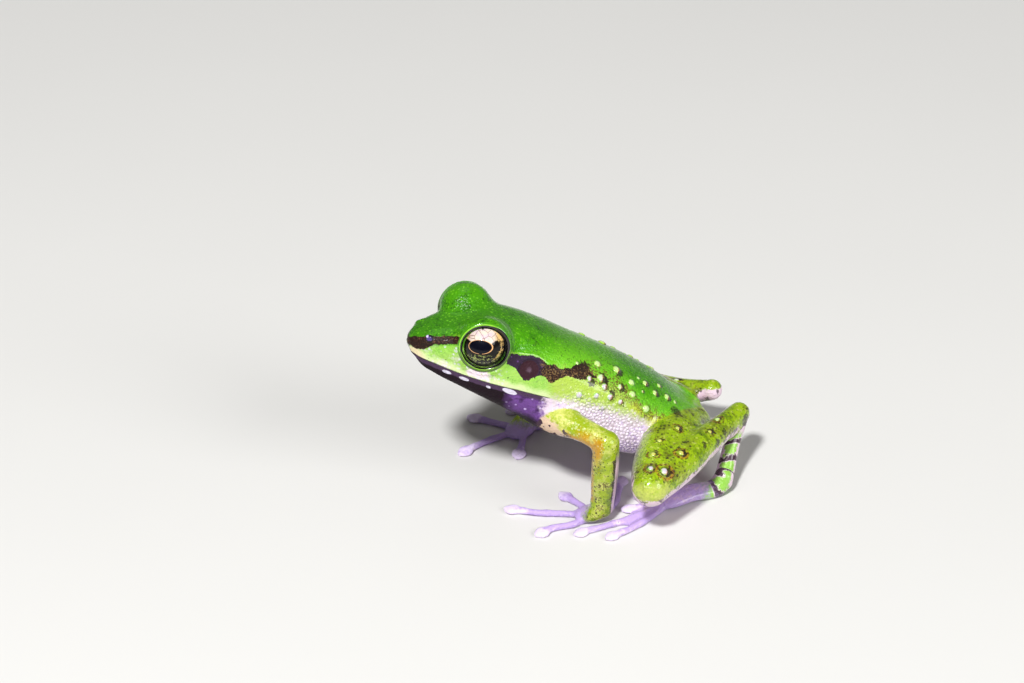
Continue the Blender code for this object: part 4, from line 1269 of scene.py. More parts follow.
def arm_colour(skin):
    """Yellow green, orange in front of the elbow, dark stipple, a pale fringe behind the forearm, and
    painted light: lighter patches and glints where the arm faces the front.
    """
    fine, grit, coarse, ragged = skin.fine, skin.grit, skin.coarse, skin.ragged
    along, facing, lean, low_side = skin.along, skin.facing, skin.lean, skin.low_side
    patches = skin.noise(0.55, 2.0)
    orange = (along - 0.95 + coarse * 0.5).size().step(0.5, 0.15) * (lean + ragged * 0.8).step(-0.15, -0.6)
    edge = (along - 1.4).size().step(0.75, 0.45) * (lean + ragged * 0.5).step(-0.72, -0.9)
    upper = (along + coarse * 0.4).step(1.02, 0.7) * (low_side + ragged * 0.6).step(0.3, 0.7)
    orange = orange.high(edge * 0.8).high(upper) * along.step(0.35, 0.6)
    peach = (along + coarse * 0.5 - low_side * 0.2).step(0.42, 0.30)
    scallop = (low_side + skin.noise(0.8, 3.0) * 4.0 - along * 0.3).step(0.50, 0.62)
    dots = (skin.cells(2.3) - patches * 0.9 - along.step(1.2, 1.9) * 0.04).step(0.31, 0.16)
    smudge = (skin.noise(0.45, 2.0) + grit * 0.4 + fine * 0.3).step(-0.04, 0.12)
    cluster = (patches * 1.6 + fine * 0.5 + lean * 0.12).step(0.02, 0.16) * along.step(1.1, 1.3)
    glint = (skin.cells(2.2) + coarse * 0.8 + fine * 0.5).step(0.26, 0.08) * along.step(1.3, 0.9)
    fringe_edge = (lean + fine * 0.5 + coarse * 0.35).step(0.52, 0.62) * along.step(1.05, 1.2)
    return skin.lay(
        "arm",
        # Lighter patches, more of them where the arm faces the front: partly painted light
        ("arm_light", (coarse * 1.6 + fine + facing * 0.2).step(0.0, 0.5)),
        ("orange", orange * 0.9),
        ("peach", peach * (low_side + ragged * 0.9).step(-0.1, 0.2)),
        ("purple_mark", scallop * (along + fine * 0.3).step(0.60, 0.45)),
        ("brown_dark", dots * along.step(0.75, 1.15) * 0.85),
        ("leg_dark", smudge * along.step(0.9, 1.3) * 0.75),
        ("brown", cluster * (grit + fine * 0.5).step(-0.06, 0.05) * 0.75),
        # Painted glints where the arm faces the front
        ("cheek_pale", glint * facing.step(0.5, 0.8) * 0.5),
        ("brown_dark", fringe_edge * coarse.step(-0.12, 0.0) * 0.9),
        ("fringe", (lean + fine * 0.25).step(0.70, 0.78) * along.step(1.05, 1.3)),
        ("digit", (along + fine * 0.4 - facing * 0.3).step(2.35, 2.75)),
        ("disc", (along + coarse).step(3.65, 3.85) * 0.9),
    )


def leg_colour(skin):
    """Lime green with clusters of stipple, pale lilac below, barred behind the heel, and a lighter knee
    that is partly painted highlight.
    """
    fine, grit, coarse, ragged = skin.fine, skin.grit, skin.coarse, skin.ragged
    along, lean = skin.along, skin.lean
    clump = (skin.noise(0.42, 3.0) * 1.5 + skin.wart_ring * 0.6 + fine * 0.5).step(-0.05, 0.25)
    arcs = (skin.wart_halo + ragged * 1.3 + grit * 0.8).step(0.42, 0.62)
    knee_pale_and_highlight = (along - 0.98 + coarse * 0.5 + ragged * 0.2).size().step(0.20, 0.04)
    under = skin.lay("leg_pale", ("purple_mark", skin.noise(0.9, 3.0).step(0.05, 0.11) * 0.85))
    bars = ((along + coarse * 0.10 + fine * 0.06) * 24.0 + lean * 1.2).math("SINE")
    tarsus = skin.lay(
        "tarsus_green",
        ("leg_pale", (lean.size() + ragged * 0.8).step(0.58, 0.74)),
        ("leg_pale", (bars + ragged * 1.2).step(0.12, 0.34) * 0.75),
        ("purple_mark", (bars + ragged * 2.0).step(0.34, 0.50)),
    )
    toes = skin.lay("digit", ("leg_pale", (coarse + fine).step(0.0, 0.3) * 0.7))
    return skin.lay(
        "leg",
        ("leg_dark", (coarse * 1.6 + fine * 1.2).step(-0.05, 0.40)),
        ("brown", clump * 0.5),
        ("brown_dark", (skin.cells(2.1) - clump * 0.26 - grit * 0.3).step(0.23, 0.11) * 0.85),
        ("leg_dark", (skin.cells(2.6) - fine * 0.4).step(0.34, 0.16) * 0.8),
        ("arm_light", (skin.cells(1.5) + coarse * 0.6).step(0.34, 0.10) * (1 - clump) * 0.5),
        ("orange_brown", arcs * 0.55),
        ("brown_dark", arcs * (grit + fine).step(-0.02, 0.08) * 0.85),
        # Lighter patch on the knee, partly its pale underside and partly painted highlight
        ("arm_light", knee_pale_and_highlight * (skin.low_side + ragged).step(-0.4, 0.1) * 0.55),
        (under, (skin.dorsal + ragged * 0.5).step(0.30, 0.12)),
        ("leg_grey", (lean + fine * 0.4).step(-0.72, -0.9) * along.step(1.0, 0.85) * 0.8),
        (tarsus, (along + fine * 0.1).step(2.04, 2.11)),
        (toes, (along + ragged * 0.5).step(3.15, 3.45)),
        ("disc", (along + coarse).step(4.65, 4.85) * 0.9),
    )


def limbs_colour(skin, colour):
    """Arms and legs, with a ragged edge to the body."""
    limbs = skin.lay(arm_colour(skin), (leg_colour(skin), skin.leg.step(0.4, 0.6)))
    edge = (skin.limb + skin.ragged * 0.3 * skin.limb.step(0.0, 0.1)).step(0.12, 0.62)
    return skin.lay(colour, (limbs, edge))


def small_marks(skin, colour):
    """Blotches, rings round the warts, edges of the lids, nostrils and the line of the mouth, with painted
    light and shade: a highlight on the upper lid, a glint on the nostrils, and black shade in the nostril
    pits and the crease of the mouth.
    """
    fine, grit, ragged = skin.fine, skin.grit, skin.ragged
    lid, nostril, x, z = skin.lid_edge, skin.nostril, skin.x, skin.z
    blotch = (skin.blotch + ragged * 1.1 + grit * 0.6).step(0.30, 0.42)
    over_eye = (z + x * 0.2 + fine).step(22.9, 24.3)
    glint = (slant_over(x - 2.05, z - 23.9) + fine * 0.2).step(0.20, 0.10) * nostril.step(0.6, 0.5)
    return skin.lay(
        colour,
        ("brown_dark", blotch * (0.85 - skin.gold * 0.5)),
        ("brown_dark", (skin.wart_ring + ragged * 1.2 + grit * 1.2).step(0.40, 0.62) * 0.85),
        ("wart_foot", skin.wart_core.step(0.35, 1.0) * 0.4 * (1 - skin.leg)),
        ("olive", lid.step(0.42, 0.24) * (1 - over_eye) * skin.on_left * 0.6),
        # Light edge over the left eye, partly the pale lid margin and partly painted highlight on its ridge
        ("lid_light", lid.step(0.34, 0.10) * over_eye * skin.on_left * 0.6),
        ("black", skin.socket.step(3.36, 3.30)),
        ("black", (nostril + fine * 0.3).step(0.58, 0.46)),
        ("nostril", (nostril + fine * 0.4).step(0.38, 0.26)),
        # Painted glint on the nostrils
        ("belly_shade", glint),
        # Painted shade: the nostril pits black as their hollows
        ("black", nostril.step(0.15, 0.08)),
        # Painted shade: the crease of the mouth black
        ("black", skin.seam * 0.75),
    )


def skin_relief(skin):
    """Fine grain of the skin in millimetres, pebbled on the belly, sunk at the mouth and nostrils."""
    grain = skin.cells(3.4, "SMOOTH_F1", 0.35)
    pebbles = skin.cells(2.2, "SMOOTH_F1", 0.3)
    height = (0.6 - grain) * 0.075 + skin.fine * 0.02 + skin.grit * 0.006 + skin.coarse * 0.07
    height = height + skin.wart_core * 0.2
    height = height + (0.6 - pebbles) * skin.pale * skin.behind * (1 - skin.limb) * 0.12
    return height - skin.seam * 0.10 - skin.nostril.step(0.32, 0.1) * 0.1


def skin_finish(colours):
    """Moist frog skin with all its markings."""
    skin = Skin(colours)
    colour = back_colour(skin)
    for paint in (cheek_colour, flank_colour, throat_colour, band_colour, limbs_colour, small_marks):
        colour = paint(skin, colour)
    wet = (skin.noise(0.7, 3.0) + 0.5) * 0.20 + skin.grit * 0.10
    film = (skin.noise(1.3, 3.0) + 0.5) * 0.7 + 0.35
    film = film * (1 - skin.lid_edge.step(1.9, 0.8) * skin.on_left * 0.85)
    film = film * (1 - skin.middle * skin.x.step(11.0, 14.0) * 1.3)
    dry = (skin.banded + skin.throat).low(1.0)
    skin.set(Base_Color=colour, Roughness=wet + 0.20 + (skin.banded * 0.3 + skin.throat * 0.5))
    skin.set(Coat_Weight=film * (1 - dry * 0.95), Coat_Roughness=0.10, Specular_IOR_Level=0.24)
    skin.glow(0.06, 0.5, 0.5, 0.3)
    skin.bump(skin_relief(skin))
    return skin.material


def granule_finish(colours):
    """Pale grains of the flank and belly."""
    grain = Finish("frog_granules", colours)
    fine, belly = grain.noise(1.6, 3.0), grain.field("belly")
    grain.set(Base_Color=grain.lay(
        "flank_light",
        ("granule", (belly + fine * 2.0).step(-0.9, 0.7)),
        ("belly", fine.step(-0.05, 0.20) * belly.step(-0.5, 0.5) * 0.7),
    ))
    grain.set(Roughness=fine * 0.2 + 0.28, Coat_Weight=0.5, Coat_Roughness=0.10)
    grain.glow(0.08, 0.4, 0.3, 0.3)
    grain.bump(grain.noise(6.0, 2.0) * 0.04)
    return grain.material


def wart_finish(colours):
    """Glossy warts, pale at the tip, green at the foot, the darker ones brown behind and below, partly
    their own marks and partly painted shade on that side.
    """
    wart = Finish("frog_warts", colours)
    fine = wart.noise(3.4, 3.0)
    rise, dark, behind, leg = (wart.field(name) for name in ("rise", "dark", "behind", "on_leg"))
    low = wart.lay("back_light", ("flank", (fine + 0.1).step(-0.1, 0.2)), ("leg", leg))
    tip = wart.lay("wart", ("wart_lilac", wart.field("lilac")), ("arm_light", leg))
    wart.set(Base_Color=wart.lay(
        low,
        (tip, (rise + fine * 0.8).step(0.40, 0.95) * 0.85),
        # Darker lower rear side of the darker warts, partly their own marks and partly painted shade
        ("orange_brown", (behind + fine * 1.4).step(-0.10, 0.22) * dark.step(0.05, 0.6) * 0.8),
        ("brown_dark", (behind + fine * 1.6).step(0.15, 0.45) * dark.step(0.2, 0.7)),
    ))
    wart.set(Roughness=fine * 0.1 + 0.22, Coat_Weight=0.6, Coat_Roughness=0.08)
    wart.glow(0.06, 0.4, 0.4, 0.3)
    wart.bump(fine * 0.05)
    return wart.material


def rim_finish(colours):
    """Edge of the lids: black inside, green outside, with an olive edge below the eye, and a light line
    over the eye that is partly painted highlight on the ridge of the lid.
    """
    rim = Finish("lid_rim", colours)
    fine, inner, low, rear = rim.noise(3.0, 3.0), rim.field("inner"), rim.field("low"), rim.field("rear")
    upper = (low + fine * 0.2).step(0.66, 0.44)
    inside = inner + upper * 0.26 + rear.step(0.55, 0.85) * 0.3 + fine * 0.05
    rim.set(Base_Color=rim.lay(
        "olive",
        ("back", upper),
        # Light line on the outer part of the upper lid edge, partly its pale margin and partly painted
        # highlight on the ridge
        ("lid_light", (inner - 0.34 + fine * 0.05).size().step(0.16, 0.06) * upper * 0.8),
        ("lid_light", (inner - 0.68 + fine * 0.05).size().step(0.08, 0.03) * (1 - upper) * 0.8),
        ("black", inside.step(0.74, 0.80)),
    ))
    rim.set(Roughness=fine * 0.1 + 0.22, Coat_Weight=0.5, Coat_Roughness=0.08)
    rim.bump(fine * 0.03)
    return rim.material


def eye_finish(colours):
    """A clear eye: dark level pupil with a thin ring, cream above, black with gold flecks below."""
    eye = Finish("frog_eye", colours)
    gx, gy = eye.field("gaze_x"), eye.field("gaze_y")
    fine, grit, coarse = eye.noise(3.2, 4.0, 0.65), eye.noise(7.0, 2.0), eye.noise(1.1, 3.0)
    edge = slant_over(gx - 0.20, gy - 0.20)
    flecks = (fine + grit * 0.5 + coarse * 0.3).step(0.02, 0.10) * gy.step(-0.7, -1.1) * gy.step(-2.3, -1.8)
    veins = eye.cells(1.1, "DISTANCE_TO_EDGE") + fine * 0.12
    cream = eye.lay(
        "iris_cream",
        ("iris_pink", (coarse + fine * 0.4).step(-0.10, 0.12)),
        ("iris_yellow", (gx.size() + coarse * 0.8).step(1.2, 2.0) * 0.85),
        ("iris_vein", veins.step(0.06, 0.01) * 0.75),
        ("iris_vein", fine.step(0.08, 0.2) * 0.35),
    )
    upper = (gy + coarse * 0.35 + fine * 0.35 - gx.size().step(0.9, 1.8) * 0.45).step(0.36, 0.50)
    crescent = (edge - 2.14 + fine * 0.9 + grit * 0.5).size().step(0.13, 0.03) * gx.step(0.9, 1.5)
    notch = (gx + 0.05).size() * 2.2 + (2.42 - gy)
    oval = slant_over((gx + 0.10) / 1.33, (gy - 0.12) / 0.77)
    ring = (oval + fine * 0.04 - gx.step(0.4, 1.6) * 0.04).step(1.11, 1.08)
    gap = (gx.size() + fine * 0.2).step(0.22, 0.10) * gy.step(-0.4, -0.6)
    eye.set(Base_Color=eye.lay(
        "iris_black",
        ("iris_gold", flecks),
        (cream, upper),
        ("iris_orange", crescent * (gy + fine * 0.5).step(-1.7, -1.2) * 0.8),
        ("iris_black", (notch + fine * 0.4).step(0.55, 0.35)),
        ("iris_ring", ring * (1 - gap)),
        ("iris_black", ring * gap),
        ("pupil", oval.step(1.06, 1.01)),
        ("black", (edge + fine * 0.2).step(2.40, 2.50)),
    ))
    eye.set(Coat_Weight=(edge + fine * 0.1).step(2.45, 2.15), Coat_Roughness=0.02, Coat_IOR=1.3)
    eye.set(Roughness=fine * 0.1 + 0.4, Specular_IOR_Level=0.05)
    eye.bump(fine * 0.03 * upper)
    return eye.material


def floor_finish(colours):
    """Plain pale studio floor."""
    floor = Finish("studio_floor", colours)
    shade = tuple(c * 0.97 for c in colours.floor)
    floor.set(Base_Color=floor.lay("floor", (shade, floor.noise(0.02, 2.0) + 0.5)), Roughness=0.75)
    return floor.material


# Each colour's label, and its red, green and blue as a screen shows them, from 0 to 255
COLOURS = {
    "back": ("Back", 70, 148, 0),
    "back_dark": ("Back, darker", 44, 108, 3),
    "back_light": ("Side of the back", 122, 200, 40),
    "stipple": ("Stipple of the back", 24, 66, 3),
    "cheek": ("Cheek", 156, 202, 84),
    "cheek_deep": ("Cheek, deeper", 128, 188, 60),
    "cheek_pale": ("Upper lip", 216, 226, 172),
    "cheek_pink": ("Patch below the eye", 232, 214, 222),
    "snout_cream": ("Tip of the upper lip", 214, 200, 160),
    "flank": ("Flank", 168, 196, 72),
    "flank_yellow": ("Flank, yellow", 196, 202, 30),
    "flank_light": ("Grains of the flank", 186, 206, 112),
    "belly": ("Belly", 214, 196, 212),
    "belly_shade": ("Belly, below", 212, 188, 242),
    "granule": ("Grains of the belly", 238, 224, 240),
    "lower_lip": ("Lower lip", 74, 52, 80),
    "lip_white": ("Lip spots", 218, 212, 230),
    # The throat's own dark maroon, deepened to near black as painted shade under the jaw
    "throat": ("Throat", 20, 0, 14),
    "violet": ("Rear of the throat", 116, 74, 150),
    "band": ("Dark band", 34, 14, 8),
    "band_brown": ("Brown of the band", 96, 62, 38),
    "band_line": ("Line above the band", 150, 200, 60),
    "ear_purple": ("Ear patch", 44, 26, 50),
    "drum": ("Ear drum", 50, 18, 30),
    "drum_rim": ("Rim of the drum", 30, 14, 24),
    # Painted highlight on the middle of the ear drum
    "drum_highlight": ("Middle of the drum", 110, 86, 104),
    "gold_brown": ("Gold speckles", 134, 106, 62),
    "brown": ("Brown mottling", 96, 74, 30),
    "brown_dark": ("Dark marks", 38, 26, 18),
    "arm": ("Arm", 148, 170, 16),
    "arm_light": ("Arm, lighter", 206, 208, 110),
    "orange": ("Elbow", 194, 138, 8),
    "peach": ("Front of the arm", 214, 186, 160),
    "fringe": ("Pale fringe of the arm", 222, 196, 204),
    "digit": ("Fingers and toes", 190, 164, 222),
    "disc": ("Discs", 234, 218, 248),
    "leg": ("Leg", 146, 176, 16),
    "leg_dark": ("Leg, darker", 96, 124, 8),
    "leg_pale": ("Underside of the leg", 226, 200, 216),
    "leg_grey": ("Front edge of the thigh", 160, 170, 130),
    "purple_mark": ("Marks of the underside", 66, 44, 58),
    "tarsus_green": ("Shin patches", 140, 192, 76),
    "wart": ("Warts", 202, 230, 156),
    "wart_lilac": ("Warts of the flank", 208, 192, 220),
    "wart_foot": ("Foot of the warts", 150, 212, 60),
    "orange_brown": ("Orange sides of the warts", 176, 110, 30),
    "nostril": ("Round the nostrils", 84, 64, 130),
    "lid_light": ("Edge of the lids", 150, 205, 60),
    "olive": ("Lower lid", 70, 104, 20),
    "black": ("Black", 8, 6, 8),
    "iris_black": ("Iris, black", 12, 8, 8),
    "iris_gold": ("Iris, flecks", 150, 160, 90),
    "iris_cream": ("Iris, cream", 222, 206, 190),
    "iris_pink": ("Iris, pink", 210, 190, 196),
    "iris_yellow": ("Iris, gold", 214, 178, 92),
    "iris_orange": ("Iris, orange", 228, 190, 118),
    "iris_vein": ("Iris, veins", 120, 80, 70),
    "iris_ring": ("Ring of the pupil", 232, 176, 120),
    "pupil": ("Pupil", 4, 4, 18),
    "floor": ("Floor", 218, 217, 214),
}


def colour_property(label, value):
    """A colour that a user can change."""
    return FloatVectorProperty(name=label, description=f"Colour: {label.lower()}", subtype="COLOR",
                               size=3, min=0.0, max=1.0, default=value)


class FrogColours(bpy.types.PropertyGroup):
    """Colours of the frog and the studio."""

    __annotations__ = {
        name: colour_property(label, srgb(*shown)) for name, (label, *shown) in COLOURS.items()
    }


class FrogSizes(bpy.types.PropertyGroup):
    """Sizes of the frog's finer forms."""

    voxel: FloatProperty(name="Skin fineness", description="Size of the skin's cells in millimetres",
                         default=VOXEL, min=0.1, max=1.0)
    eye_radius: FloatProperty(name="Eye radius", description="Radius of each eyeball", default=2.75 * MM,
                              unit="LENGTH", subtype="DISTANCE")
    granule_size: FloatProperty(name="Grain size", description="Radius of the grains of the flank",
                                default=0.22 * MM, unit="LENGTH", subtype="DISTANCE")
    granule_gap: FloatProperty(name="Grain spacing", description="Least distance between grains",
                               default=0.38 * MM, unit="LENGTH", subtype="DISTANCE")
    wart_height: FloatProperty(name="Wart height", description="Height of a wart for its radius",
                               default=0.62, min=0.1, max=2.0)
    seed: IntProperty(name="Seed", description="Seed of what is scattered", default=7)
    key_power: FloatProperty(name="Main light", description="Power of the main studio light",
                             default=6.0, unit="POWER")


def finished(mesh, name, material, slot, *nodes):
    """Place a finished piece in the frame, let it ride on the body and replace solids."""
    mesh.materials.clear()
    mesh.materials.append(material)
    obj = new_object(mesh, name)
    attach(obj, "root")
    if nodes:
        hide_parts(*nodes)
    return obj


class FROG_OT_skin(bpy.types.Operator):
    """Build the one skin over all flesh, with its lids, lips and markings"""

    bl_idname = "frog.skin"
    bl_label = "Skin"

    def execute(self, context):
        sizes, colours = context.scene.frog_sizes, context.scene.frog_colours
        limbs = all_limbs()
        trunk_piece = trunk(TRUNK_SIDES, TRUNK_STEP)
        pieces = [trunk_piece]
        for item in limbs:
            sides = DIGIT_SIDES if item.name in DIGIT else LIMB_SIDES
            across = SECTION_WAY.get(item.name, (0.0, 0.0, 1.0))
            pieces.append(limb(item.rows, sides, across, item.name in ON_FLOOR))
        for side in SIDES:
            toes = [carried(toe, ANKLE, side) for toe in TOES]
            pieces += [web(toe, other) for toe, other in zip(toes, toes[1:])]
        rough = new_object(joined(pieces, "rough"), "rough")
        remesh = rough.modifiers.new("remesh", "REMESH")
        remesh.mode = "VOXEL"
        remesh.voxel_size = sizes.voxel
        surface = Surface(with_modifiers_applied(rough))
        smooth_body(surface)
        shape_features(surface)
        surface.write()
        surface = Surface(cut(surface.mesh, eye_openings()))
        warts = store_fields(surface, limbs, trunk_piece)
        context.scene["frog_warts"] = json.dumps(
            [[*place, *normal, *values] for place, normal, values in warts])
        mesh = surface.mesh
        to_frame(mesh)
        smooth_shaded(mesh)
        flesh = [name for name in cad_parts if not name.startswith("eye_")]
        skin = finished(mesh, "skin", skin_finish(colours), "skin_green", *flesh)
        if len(surface.corners) > MOST_TRIANGLES:
            raise RuntimeError(f"the skin has {len(surface.corners)} triangles, more than {MOST_TRIANGLES}")
        print("skin", skin.name, len(surface.corners), "triangles")
        return {"FINISHED"}


class FROG_OT_lids(bpy.types.Operator):
    """Roll an edge round each eye's opening"""

    bl_idname = "frog.lids"
    bl_label = "Lid edges"

    def execute(self, context):
        material = rim_finish(context.scene.frog_colours)
        for side in SIDES:
            mesh = mesh_of(*lid_rim(side), f"lid_edge_{side}")
            surface = Surface(mesh)
            centre, axis = np.array(EYE_CENTRE[side]), unit(EYE_OPENING_AXIS[side])
            offset = surface.points - centre
            flat = np.linalg.norm(offset - (offset @ axis)[:, None] * axis, axis=1)
            surface.store(inner=0.5 + (RIM_RADIUS - flat) / (2 * RIM_THICKNESS),
                          low=0.5 - offset[:, 2] / 6.0, rear=0.5 + offset[:, 0] / 6.0)
            to_frame(mesh)
            smooth_shaded(mesh)
            finished(mesh, f"lid_edge_{side}", material, "skin_dark")
        return {"FINISHED"}


class FROG_OT_eyes(bpy.types.Operator):
    """Build both eyes"""

    bl_idname = "frog.eyes"
    bl_label = "Eyes"

    def execute(self, context):
        material = eye_finish(context.scene.frog_colours)
        radius = context.scene.frog_sizes.eye_radius / MM
        for side in SIDES:
            gaze = unit(sided(GAZE, side))
            level = np.array(ACROSS) * EYE_LEVEL[0] - np.array(UPWARD) * EYE_LEVEL[1]
            level = np.array(sided(level, side))
            level = unit(level - gaze * (level @ gaze))
            upright = np.cross(gaze, level) * (1 if side == "left" else -1)
            centre = np.array(EYE_CENTRE[side])
            mesh = mesh_of(*ball(centre, radius, gaze, EYE_SIDES, EYE_RINGS), f"eyeball_{side}")
            # The faces of such a ball point inwards, and are turned
            mesh.flip_normals()
            surface = Surface(mesh)
            offset = (surface.points - centre) / radius
            ahead = offset @ gaze
            cornea = CORNEA_HEIGHT * ramp(ahead, CORNEA_EDGE, 1.0)
            surface.points += offset * cornea[:, None]
            surface.write()
            surface.store(gaze_x=np.where(ahead > 0, offset @ level, BEHIND_IRIS) * radius,
                          gaze_y=np.where(ahead > 0, offset @ upright, BEHIND_IRIS) * radius)
            to_frame(mesh)
            smooth_shaded(mesh, 180)
            finished(mesh, f"eyeball_{side}", material, "eye", f"eye_{side}")
        return {"FINISHED"}


class Geometry:
    """A geometry node tree in the making, with named inputs."""

    def __init__(self, name, **inputs):
        self.tree = bpy.data.node_groups.new(name, "GeometryNodeTree")
        sockets = self.tree.interface
        sockets.new_socket("Geometry", in_out="INPUT", socket_type="NodeSocketGeometry")
        sockets.new_socket("Geometry", in_out="OUTPUT", socket_type="NodeSocketGeometry")
        for label, kind in inputs.items():
            sockets.new_socket(label, in_out="INPUT", socket_type=f"NodeSocket{kind}")
        self.start = self.tree.nodes.new("NodeGroupInput").outputs
        self.end = self.tree.nodes.new("NodeGroupOutput").inputs

    def node(self, kind, settings=None, values=None):
        """A node of this tree."""
        return add_node(self.tree, kind, settings, values)

    def number(self, socket):
        """A socket as a number to reckon with."""
        return Value(self.tree, socket)

    def stored(self, name, kind="FLOAT"):
        """A value that is stored in the mesh."""
        node = self.node("GeometryNodeInputNamedAttribute", {"data_type": kind}, {"Name": name})
        return node.outputs["Attribute"]

    def keep(self, geometry, name, value, kind="FLOAT"):
        """The geometry with a value stored on its points."""
        settings = {"data_type": kind, "domain": "POINT"}
        return self.node("GeometryNodeStoreNamedAttribute", settings, {
            "Geometry": geometry, "Name": name, "Value": value,
        }).outputs[0]

    def stand(self, points, piece, rotation, *scale):
        """Smooth copies of a piece on points, as real geometry."""
        smooth = self.node("GeometryNodeSetShadeSmooth", None, {"Geometry": piece})
        size = self.node("ShaderNodeCombineXYZ", None, dict(enumerate(scale)))
        copies = self.node("GeometryNodeInstanceOnPoints", None, {
            "Points": points, "Instance": smooth.outputs[0], "Rotation": rotation, "Scale": size.outputs[0],
        })
        return self.node("GeometryNodeRealizeInstances", None, {"Geometry": copies.outputs[0]}).outputs[0]

    def finish(self, geometry):
        """Give the geometry its material and close the tree."""
        paint = self.node("GeometryNodeSetMaterial", None, {
            "Geometry": geometry, "Material": self.start["Material"],
        })
        self.tree.links.new(paint.outputs[0], self.end[0])
        return self.tree


def run_tree(obj, tree, **values):
    """Run a geometry node tree on an object with values for its named inputs, as a plain mesh."""
    modifier = obj.modifiers.new("nodes", "NODES")
    modifier.node_group = tree
    for item in tree.interface.items_tree:
        if item.in_out == "INPUT" and item.name in values:
            modifier[item.identifier] = values[item.name]
    return with_modifiers_applied(obj)


def granule_tree():
    """Grains scattered over the faces of a skin, denser where its granule value is higher."""
    tree = Geometry("granules", Size="Float", Gap="Float", Seed="Int", Material="Material")
    where = tree.stored("granule")
    scatter = tree.node("GeometryNodeDistributePointsOnFaces", {"distribute_method": "POISSON"}, {
        "Mesh": tree.start["Geometry"], "Distance Min": tree.start["Gap"], "Density Max": GRANULE_DENSITY,
        "Density Factor": where, "Seed": tree.start["Seed"],
    }).outputs
    grain = tree.node("GeometryNodeMeshIcoSphere", None, {"Radius": 1.0, "Subdivisions": 2})
    low, high = GRANULE_SPREAD
    chance = tree.node("FunctionNodeRandomValue", {"data_type": "FLOAT"},
                       {2: low, 3: high, "Seed": tree.start["Seed"]})
    share = tree.node("ShaderNodeMapRange", None, {"Value": where, "To Min": GRANULE_LEAST})
    size = tree.number(tree.start["Size"]) * chance.outputs[1] * share.outputs[0]
    real = tree.stand(scatter["Points"], grain.outputs["Mesh"], scatter["Rotation"],
                      size, size, size * GRANULE_FLATNESS)
    return tree.finish(real)


def wart_tree():
    """A low dome on each point of a mesh, by the size and direction stored there."""
    tree = Geometry("warts", Height="Float", Material="Material")
    here = tree.node("GeometryNodeInputPosition").outputs[0]
    size, aim = tree.number(tree.stored("size")), tree.stored("aim", "FLOAT_VECTOR")
    turn = tree.node("FunctionNodeAlignRotationToVector", {"axis": "Z"}, {"Vector": aim})
    dome = tree.node("GeometryNodeMeshIcoSphere", None, {"Radius": 1.0, "Subdivisions": 4})
    height = tree.node("ShaderNodeSeparateXYZ", None, {0: here}).outputs[2]
    piece = tree.keep(dome.outputs["Mesh"], "rise", height)
    points = tree.node("GeometryNodeMeshToPoints", None, {"Mesh": tree.start["Geometry"]}).outputs[0]
    points = tree.keep(points, "foot", here, "FLOAT_VECTOR")
    real = tree.stand(points, piece, turn.outputs[0], size, size, size * tree.start["Height"])
    offset = tree.node("ShaderNodeVectorMath", {"operation": "SUBTRACT"},
                       {0: here, 1: tree.stored("foot", "FLOAT_VECTOR")})
    # How far each place of a dome lies towards its lower rear side, where the material paints shade
    rear = tree.node("ShaderNodeVectorMath", {"operation": "DOT_PRODUCT"},
                     {0: offset.outputs[0], 1: tuple(unit(WART_SHADED_SIDE))})
    return tree.finish(tree.keep(real, "behind", tree.number(rear.outputs["Value"]) / size))


class FROG_OT_granules(bpy.types.Operator):
    """Scatter grains over the flanks and belly"""

    bl_idname = "frog.granules"
    bl_label = "Grains"

    def execute(self, context):
        sizes = context.scene.frog_sizes
        copy = new_object(bpy.data.objects["skin"].data.copy(), "granule_ground")
        material = granule_finish(context.scene.frog_colours)
        mesh = run_tree(copy, granule_tree(), Size=sizes.granule_size, Gap=sizes.granule_gap,
                        Seed=sizes.seed, Material=material)
        print("granules", len(mesh.polygons), "faces")
        finished(mesh, "granules", material, "skin_pale")
        return {"FINISHED"}


class FROG_OT_warts(bpy.types.Operator):
    """Set warts on the sides of the back and on the legs"""

    bl_idname = "frog.warts"
    bl_label = "Warts"

    def execute(self, context):
        rows = np.array(json.loads(context.scene["frog_warts"]))
        del context.scene["frog_warts"]
        place, normal, radius, dark = rows[:, :3], rows[:, 3:6], rows[:, 6], rows[:, 7]
        mesh = mesh_of(place - normal * WART_ROOT, [], "wart_points")
        away = np.abs(place[:, 1])
        on_leg = ramp(away, LEG_FROM, LEG_FULL) * ramp(-away, *LEG_FADE)
        lilac = lilac_share(place[:, 0], place[:, 2]) * (1 - on_leg)
        for name, values in (("size", radius * WART_SWELL * MM), ("dark", dark), ("lilac", lilac),
                             ("on_leg", on_leg), ("aim", normal)):
            store(mesh, name, values)
        to_frame(mesh)
        material = wart_finish(context.scene.frog_colours)
        made = run_tree(new_object(mesh, "wart_points"), wart_tree(), Material=material,
                        Height=context.scene.frog_sizes.wart_height)
        finished(made, "warts", material, "skin_green")
        return {"FINISHED"}


class FROG_OT_stage(bpy.types.Operator):
    """Set up the studio: floor, lights and camera"""

    bl_idname = "frog.stage"
    bl_label = "Studio"

    def execute(self, context):
        make_floor(context)
        make_lights(context)
        make_camera(context)
        return {"FINISHED"}


# Studio: the camera looks along TOWARDS at a point given across and up from the snout, on the depth of
# the shoulders
CAMERA_DISTANCE = 0.5
PIXELS_PER_MM = 8.1
PHOTO_SIZE = (1024, 683)
SNOUT_IN_PHOTO = (408.0, 494.0)
CAMERA_DEPTH_AT = (18.0, -4.0, 14.0)
FLOOR_SIZE = 3.0
SURROUNDINGS = 0.12
LIGHTS = (
    ("key", (-0.27, -0.36, 0.64), 0.10, 1.18),
    ("fill", (0.45, -0.50, 0.40), 0.40, 0.46),
    ("back", (0.05, 0.45, 0.75), 0.50, 0.04),
)


